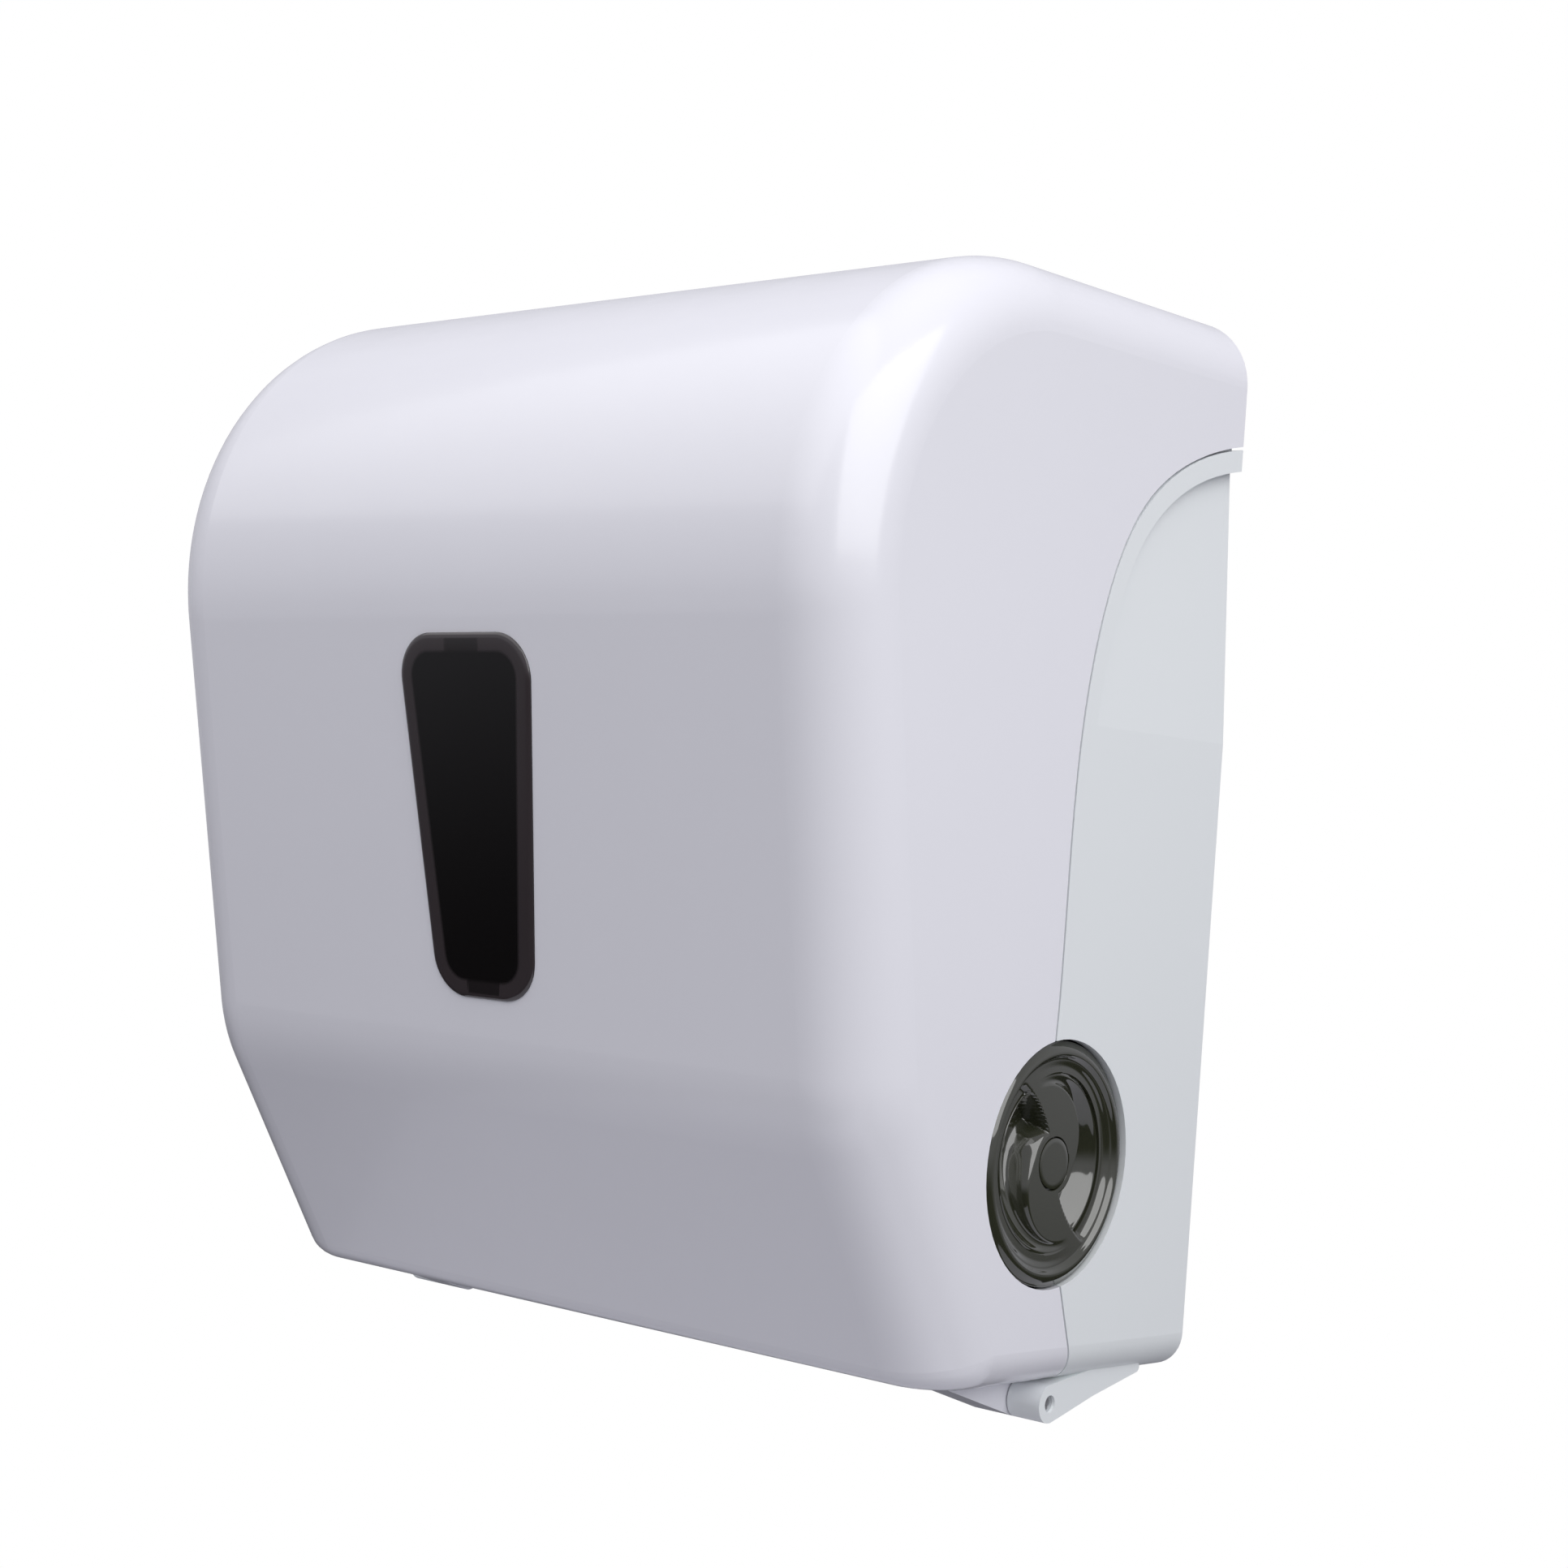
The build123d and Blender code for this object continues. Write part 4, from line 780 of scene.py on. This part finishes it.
BAND_PLACES = (-84 * MM, -28 * MM, 28 * MM, 84 * MM)
RIB_SIZE = (8.4 * MM, 1.0 * MM, 0.5 * MM)
RIB_SEAT = 0.45 * MM  # middle of a rib above the drum's radius
SLOT_MIDDLE, SLOT_BEFORE, SLOT_AFTER = (math.radians(a) for a in (60, 14, 24))


class DISPENSER_OT_bands(bpy.types.Operator):
    """Cross ribs on the drum's grip bands"""
    bl_idname = "dispenser.bands"
    bl_label = "Grip band ribs"

    def execute(self, context):
        look = context.scene.gear_look
        knob = context.scene.knob_look
        tree = rib_tree()
        width, thickness, rise = RIB_SIZE
        for n, middle in enumerate(BAND_PLACES):
            band = grown(f"band_ribs_{n + 1}", tree, {
                "Count": look.rib_count, "Radius": look.drum_radius + RIB_SEAT,
                "Width": width, "Thickness": thickness, "Rise": rise,
                "Finish": material_of("band_rubber")})
            drop_ribs_at_slot(band)
            place_mesh(band, Matrix.Translation((middle, knob.centre_y, knob.centre_z + FOOT)))
            crease(band, 40)
            wear(band, "band_rubber")
            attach(band, "drum")
        return {"FINISHED"}


def drop_ribs_at_slot(made):
    """Takes away the ribs that would bridge the drum's slot."""
    work = bmesh.new()
    work.from_mesh(made.data)
    gone = []
    for v in work.verts:
        angle = math.atan2(v.co.z, -v.co.y)
        gap = (angle - SLOT_MIDDLE + math.pi) % FULL_TURN - math.pi
        if -SLOT_BEFORE < gap < SLOT_AFTER:
            gone.append(v)
    bmesh.ops.delete(work, geom=gone, context="VERTS")
    # a rib that has lost some of its corners goes as a whole
    loose = [v for v in work.verts if len(v.link_faces) < 3]
    bmesh.ops.delete(work, geom=loose, context="VERTS")
    work.to_mesh(made.data)
    work.free()


# name, place in metres, width, height and watts of each soft light
LIGHTS = (("key_above", (-0.3, -0.75, 0.85), 1.6, 1.3, 5.0),
          ("side_right", (1.35, -0.55, 0.85), 1.8, 1.6, 19.5))
LIGHT_AIM = Vector((0, -0.09, -0.03))
FLOOR_WHITE = 0.92  # share of plain white that the camera sees on the floor
ROOM_TINT = (0.925, 0.92, 1.0, 1)
ROOM_RAMP = (-0.3, 0.05)  # direction's height where the room starts and ends to brighten
ROOM_LIGHT = (0.02, 0.53)

# The camera that fits the photograph's outline
PHOTO_ANGLES = (39.694, -1.533, 3.654)
PHOTO_TARGET = (0.044806, -0.095, 0.164016 + FOOT)
PHOTO_DISTANCE = 0.758122
PHOTO_FOCUS_PIXELS = 3119.071
PHOTO_WIDTH_PIXELS = 1932
SENSOR_MM = 36.0


class DISPENSER_OT_stage(bpy.types.Operator):
    """Pale floor, soft lights and the camera"""
    bl_idname = "dispenser.stage"
    bl_label = "Stage"

    def execute(self, context):
        look = context.scene.stage_look
        low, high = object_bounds()
        level = low[2] - look.drop
        half = look.half
        floor = mesh_object("floor", [(-half, -half, level), (half, -half, level),
                                      (half, half, level), (-half, half, level)], [(0, 1, 2, 3)])
        floor.data.materials.append(pale_floor(look))
        floor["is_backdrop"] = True
        studio_world()
        for lamp in LIGHTS:
            soft_light(*lamp)
        photo_camera()
        context.scene.view_settings.view_transform = "Standard"
        return {"FINISHED"}


def pale_floor(look):
    """Painted studio floor: even and pale, white to the camera, with a soft shadow."""
    made = bpy.data.materials.new("painted_floor")
    made.use_nodes = True
    tree = made.node_tree
    tree.nodes.clear()
    out = add_node(tree, "ShaderNodeOutputMaterial")
    ray = add_node(tree, "ShaderNodeLightPath")
    skin = add_node(tree, "ShaderNodeBsdfDiffuse", {"Color": rgba(look.floor)})
    white = add_node(tree, "ShaderNodeEmission", {"Color": (1, 1, 1, 1), "Strength": 1.0})
    # the shadow's share of the floor fades out before the edge, so that no edge shows
    place = add_node(tree, "ShaderNodeTexCoord").outputs["Object"]
    away = add_node(tree, "ShaderNodeVectorMath", {0: place, 1: (1, 1, 0)}, operation="MULTIPLY")
    reach = add_node(tree, "ShaderNodeVectorMath", {0: away.outputs[0]}, operation="LENGTH")
    fade = add_node(tree, "ShaderNodeMapRange", {
        "Value": reach.outputs["Value"], "From Min": 0.4 * look.half,
        "From Max": 0.95 * look.half, "To Min": FLOOR_WHITE, "To Max": 1.0})
    share = add_node(tree, "ShaderNodeMath", {0: ray.outputs["Is Camera Ray"],
                                              1: fade.outputs["Result"]}, operation="MULTIPLY")
    mix = add_node(tree, "ShaderNodeMixShader",
                   {"Fac": share.outputs[0], 1: skin.outputs[0], 2: white.outputs[0]})
    tree.links.new(mix.outputs[0], out.inputs["Surface"])
    return made


def studio_world():
    """White to the camera, and a plain pale room to everything else, dimmer below."""
    world = bpy.data.worlds.new("pale_room")
    bpy.context.scene.world = world
    world.use_nodes = True
    tree = world.node_tree
    tree.nodes.clear()
    out = add_node(tree, "ShaderNodeOutputWorld")
    ray = add_node(tree, "ShaderNodeLightPath")
    way = add_node(tree, "ShaderNodeSeparateXYZ",
                   {"Vector": add_node(tree, "ShaderNodeTexCoord").outputs["Generated"]})
    ramp = add_node(tree, "ShaderNodeMapRange", {
        "Value": way.outputs["Z"], "From Min": ROOM_RAMP[0], "From Max": ROOM_RAMP[1],
        "To Min": ROOM_LIGHT[0], "To Max": ROOM_LIGHT[1]}, interpolation_type="SMOOTHSTEP")
    room = add_node(tree, "ShaderNodeBackground",
                    {"Color": ROOM_TINT, "Strength": ramp.outputs["Result"]})
    white = add_node(tree, "ShaderNodeBackground", {"Color": (1, 1, 1, 1), "Strength": 1.0})
    mix = add_node(tree, "ShaderNodeMixShader", {
        "Fac": ray.outputs["Is Camera Ray"], 1: room.outputs[0], 2: white.outputs[0]})
    tree.links.new(mix.outputs[0], out.inputs["Surface"])


def soft_light(name, place, width, height, watts):
    lamp = bpy.data.lights.new(name, "AREA")
    lamp.shape = "RECTANGLE"
    lamp.size, lamp.size_y = width, height
    lamp.energy = watts
    made = bpy.data.objects.new(name, lamp)
    bpy.context.scene.collection.objects.link(made)
    way = LIGHT_AIM - Vector(place)
    made.matrix_world = (Matrix.Translation(place)
                         @ way.to_track_quat("-Z", "Y").to_matrix().to_4x4())


def photo_camera():
    """The camera fitted to the photograph's outline."""
    azimuth, elevation, roll = (math.radians(a) for a in PHOTO_ANGLES)
    back = Vector((math.sin(azimuth) * math.cos(elevation),
                   -math.cos(azimuth) * math.cos(elevation), math.sin(elevation)))
    level = Vector((math.cos(azimuth), math.sin(azimuth), 0))
    upright = back.cross(level)
    right = level * math.cos(roll) + upright * math.sin(roll)
    up = upright * math.cos(roll) - level * math.sin(roll)
    lens = bpy.data.cameras.new("photo_camera")
    lens.sensor_fit = "HORIZONTAL"
    lens.sensor_width = SENSOR_MM
    lens.lens = PHOTO_FOCUS_PIXELS / PHOTO_WIDTH_PIXELS * SENSOR_MM
    lens.clip_start = 0.02
    made = bpy.data.objects.new("photo_camera", lens)
    bpy.context.scene.collection.objects.link(made)
    place = Vector(PHOTO_TARGET) + back * PHOTO_DISTANCE
    made.matrix_world = Matrix((
        (right.x, up.x, back.x, place.x), (right.y, up.y, back.y, place.y),
        (right.z, up.z, back.z, place.z), (0, 0, 0, 1)))
    bpy.context.scene.camera = made


class DISPENSER_PT_panel(bpy.types.Panel):
    """Steps and values of the dispenser"""
    bl_idname = "DISPENSER_PT_panel"
    bl_label = "Towel dispenser"
    bl_space_type = "VIEW_3D"
    bl_region_type = "UI"
    bl_category = "Dispenser"

    def draw(self, context):
        layout = self.layout
        for step in STEPS:
            layout.operator(step.bl_idname)
        for key, group in LOOKS.items():
            box = layout.box()
            values = getattr(context.scene, key)
            for prop in group.__annotations__:
                box.prop(values, prop)


LOOKS = {"case_look": CaseLook, "window_look": WindowLook, "knob_look": KnobLook,
         "gear_look": GearLook, "stage_look": StageLook}
STEPS = (DISPENSER_OT_nodes, DISPENSER_OT_window, DISPENSER_OT_knob, DISPENSER_OT_springs,
         DISPENSER_OT_bands, DISPENSER_OT_stage)


def register():
    for key, group in LOOKS.items():
        bpy.utils.register_class(group)
        setattr(bpy.types.Scene, key, bpy.props.PointerProperty(type=group))
    for step in STEPS:
        bpy.utils.register_class(step)
    bpy.utils.register_class(DISPENSER_PT_panel)


def unregister():
    bpy.utils.unregister_class(DISPENSER_PT_panel)
    for step in reversed(STEPS):
        bpy.utils.unregister_class(step)
    for key, group in LOOKS.items():
        delattr(bpy.types.Scene, key)
        bpy.utils.unregister_class(group)


def main():
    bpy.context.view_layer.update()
    register()
    bpy.ops.dispenser.nodes()
    bpy.ops.dispenser.window()
    bpy.ops.dispenser.knob()
    bpy.ops.dispenser.springs()
    bpy.ops.dispenser.bands()
    bpy.ops.dispenser.stage()


if __name__ == "__main__":
    main()
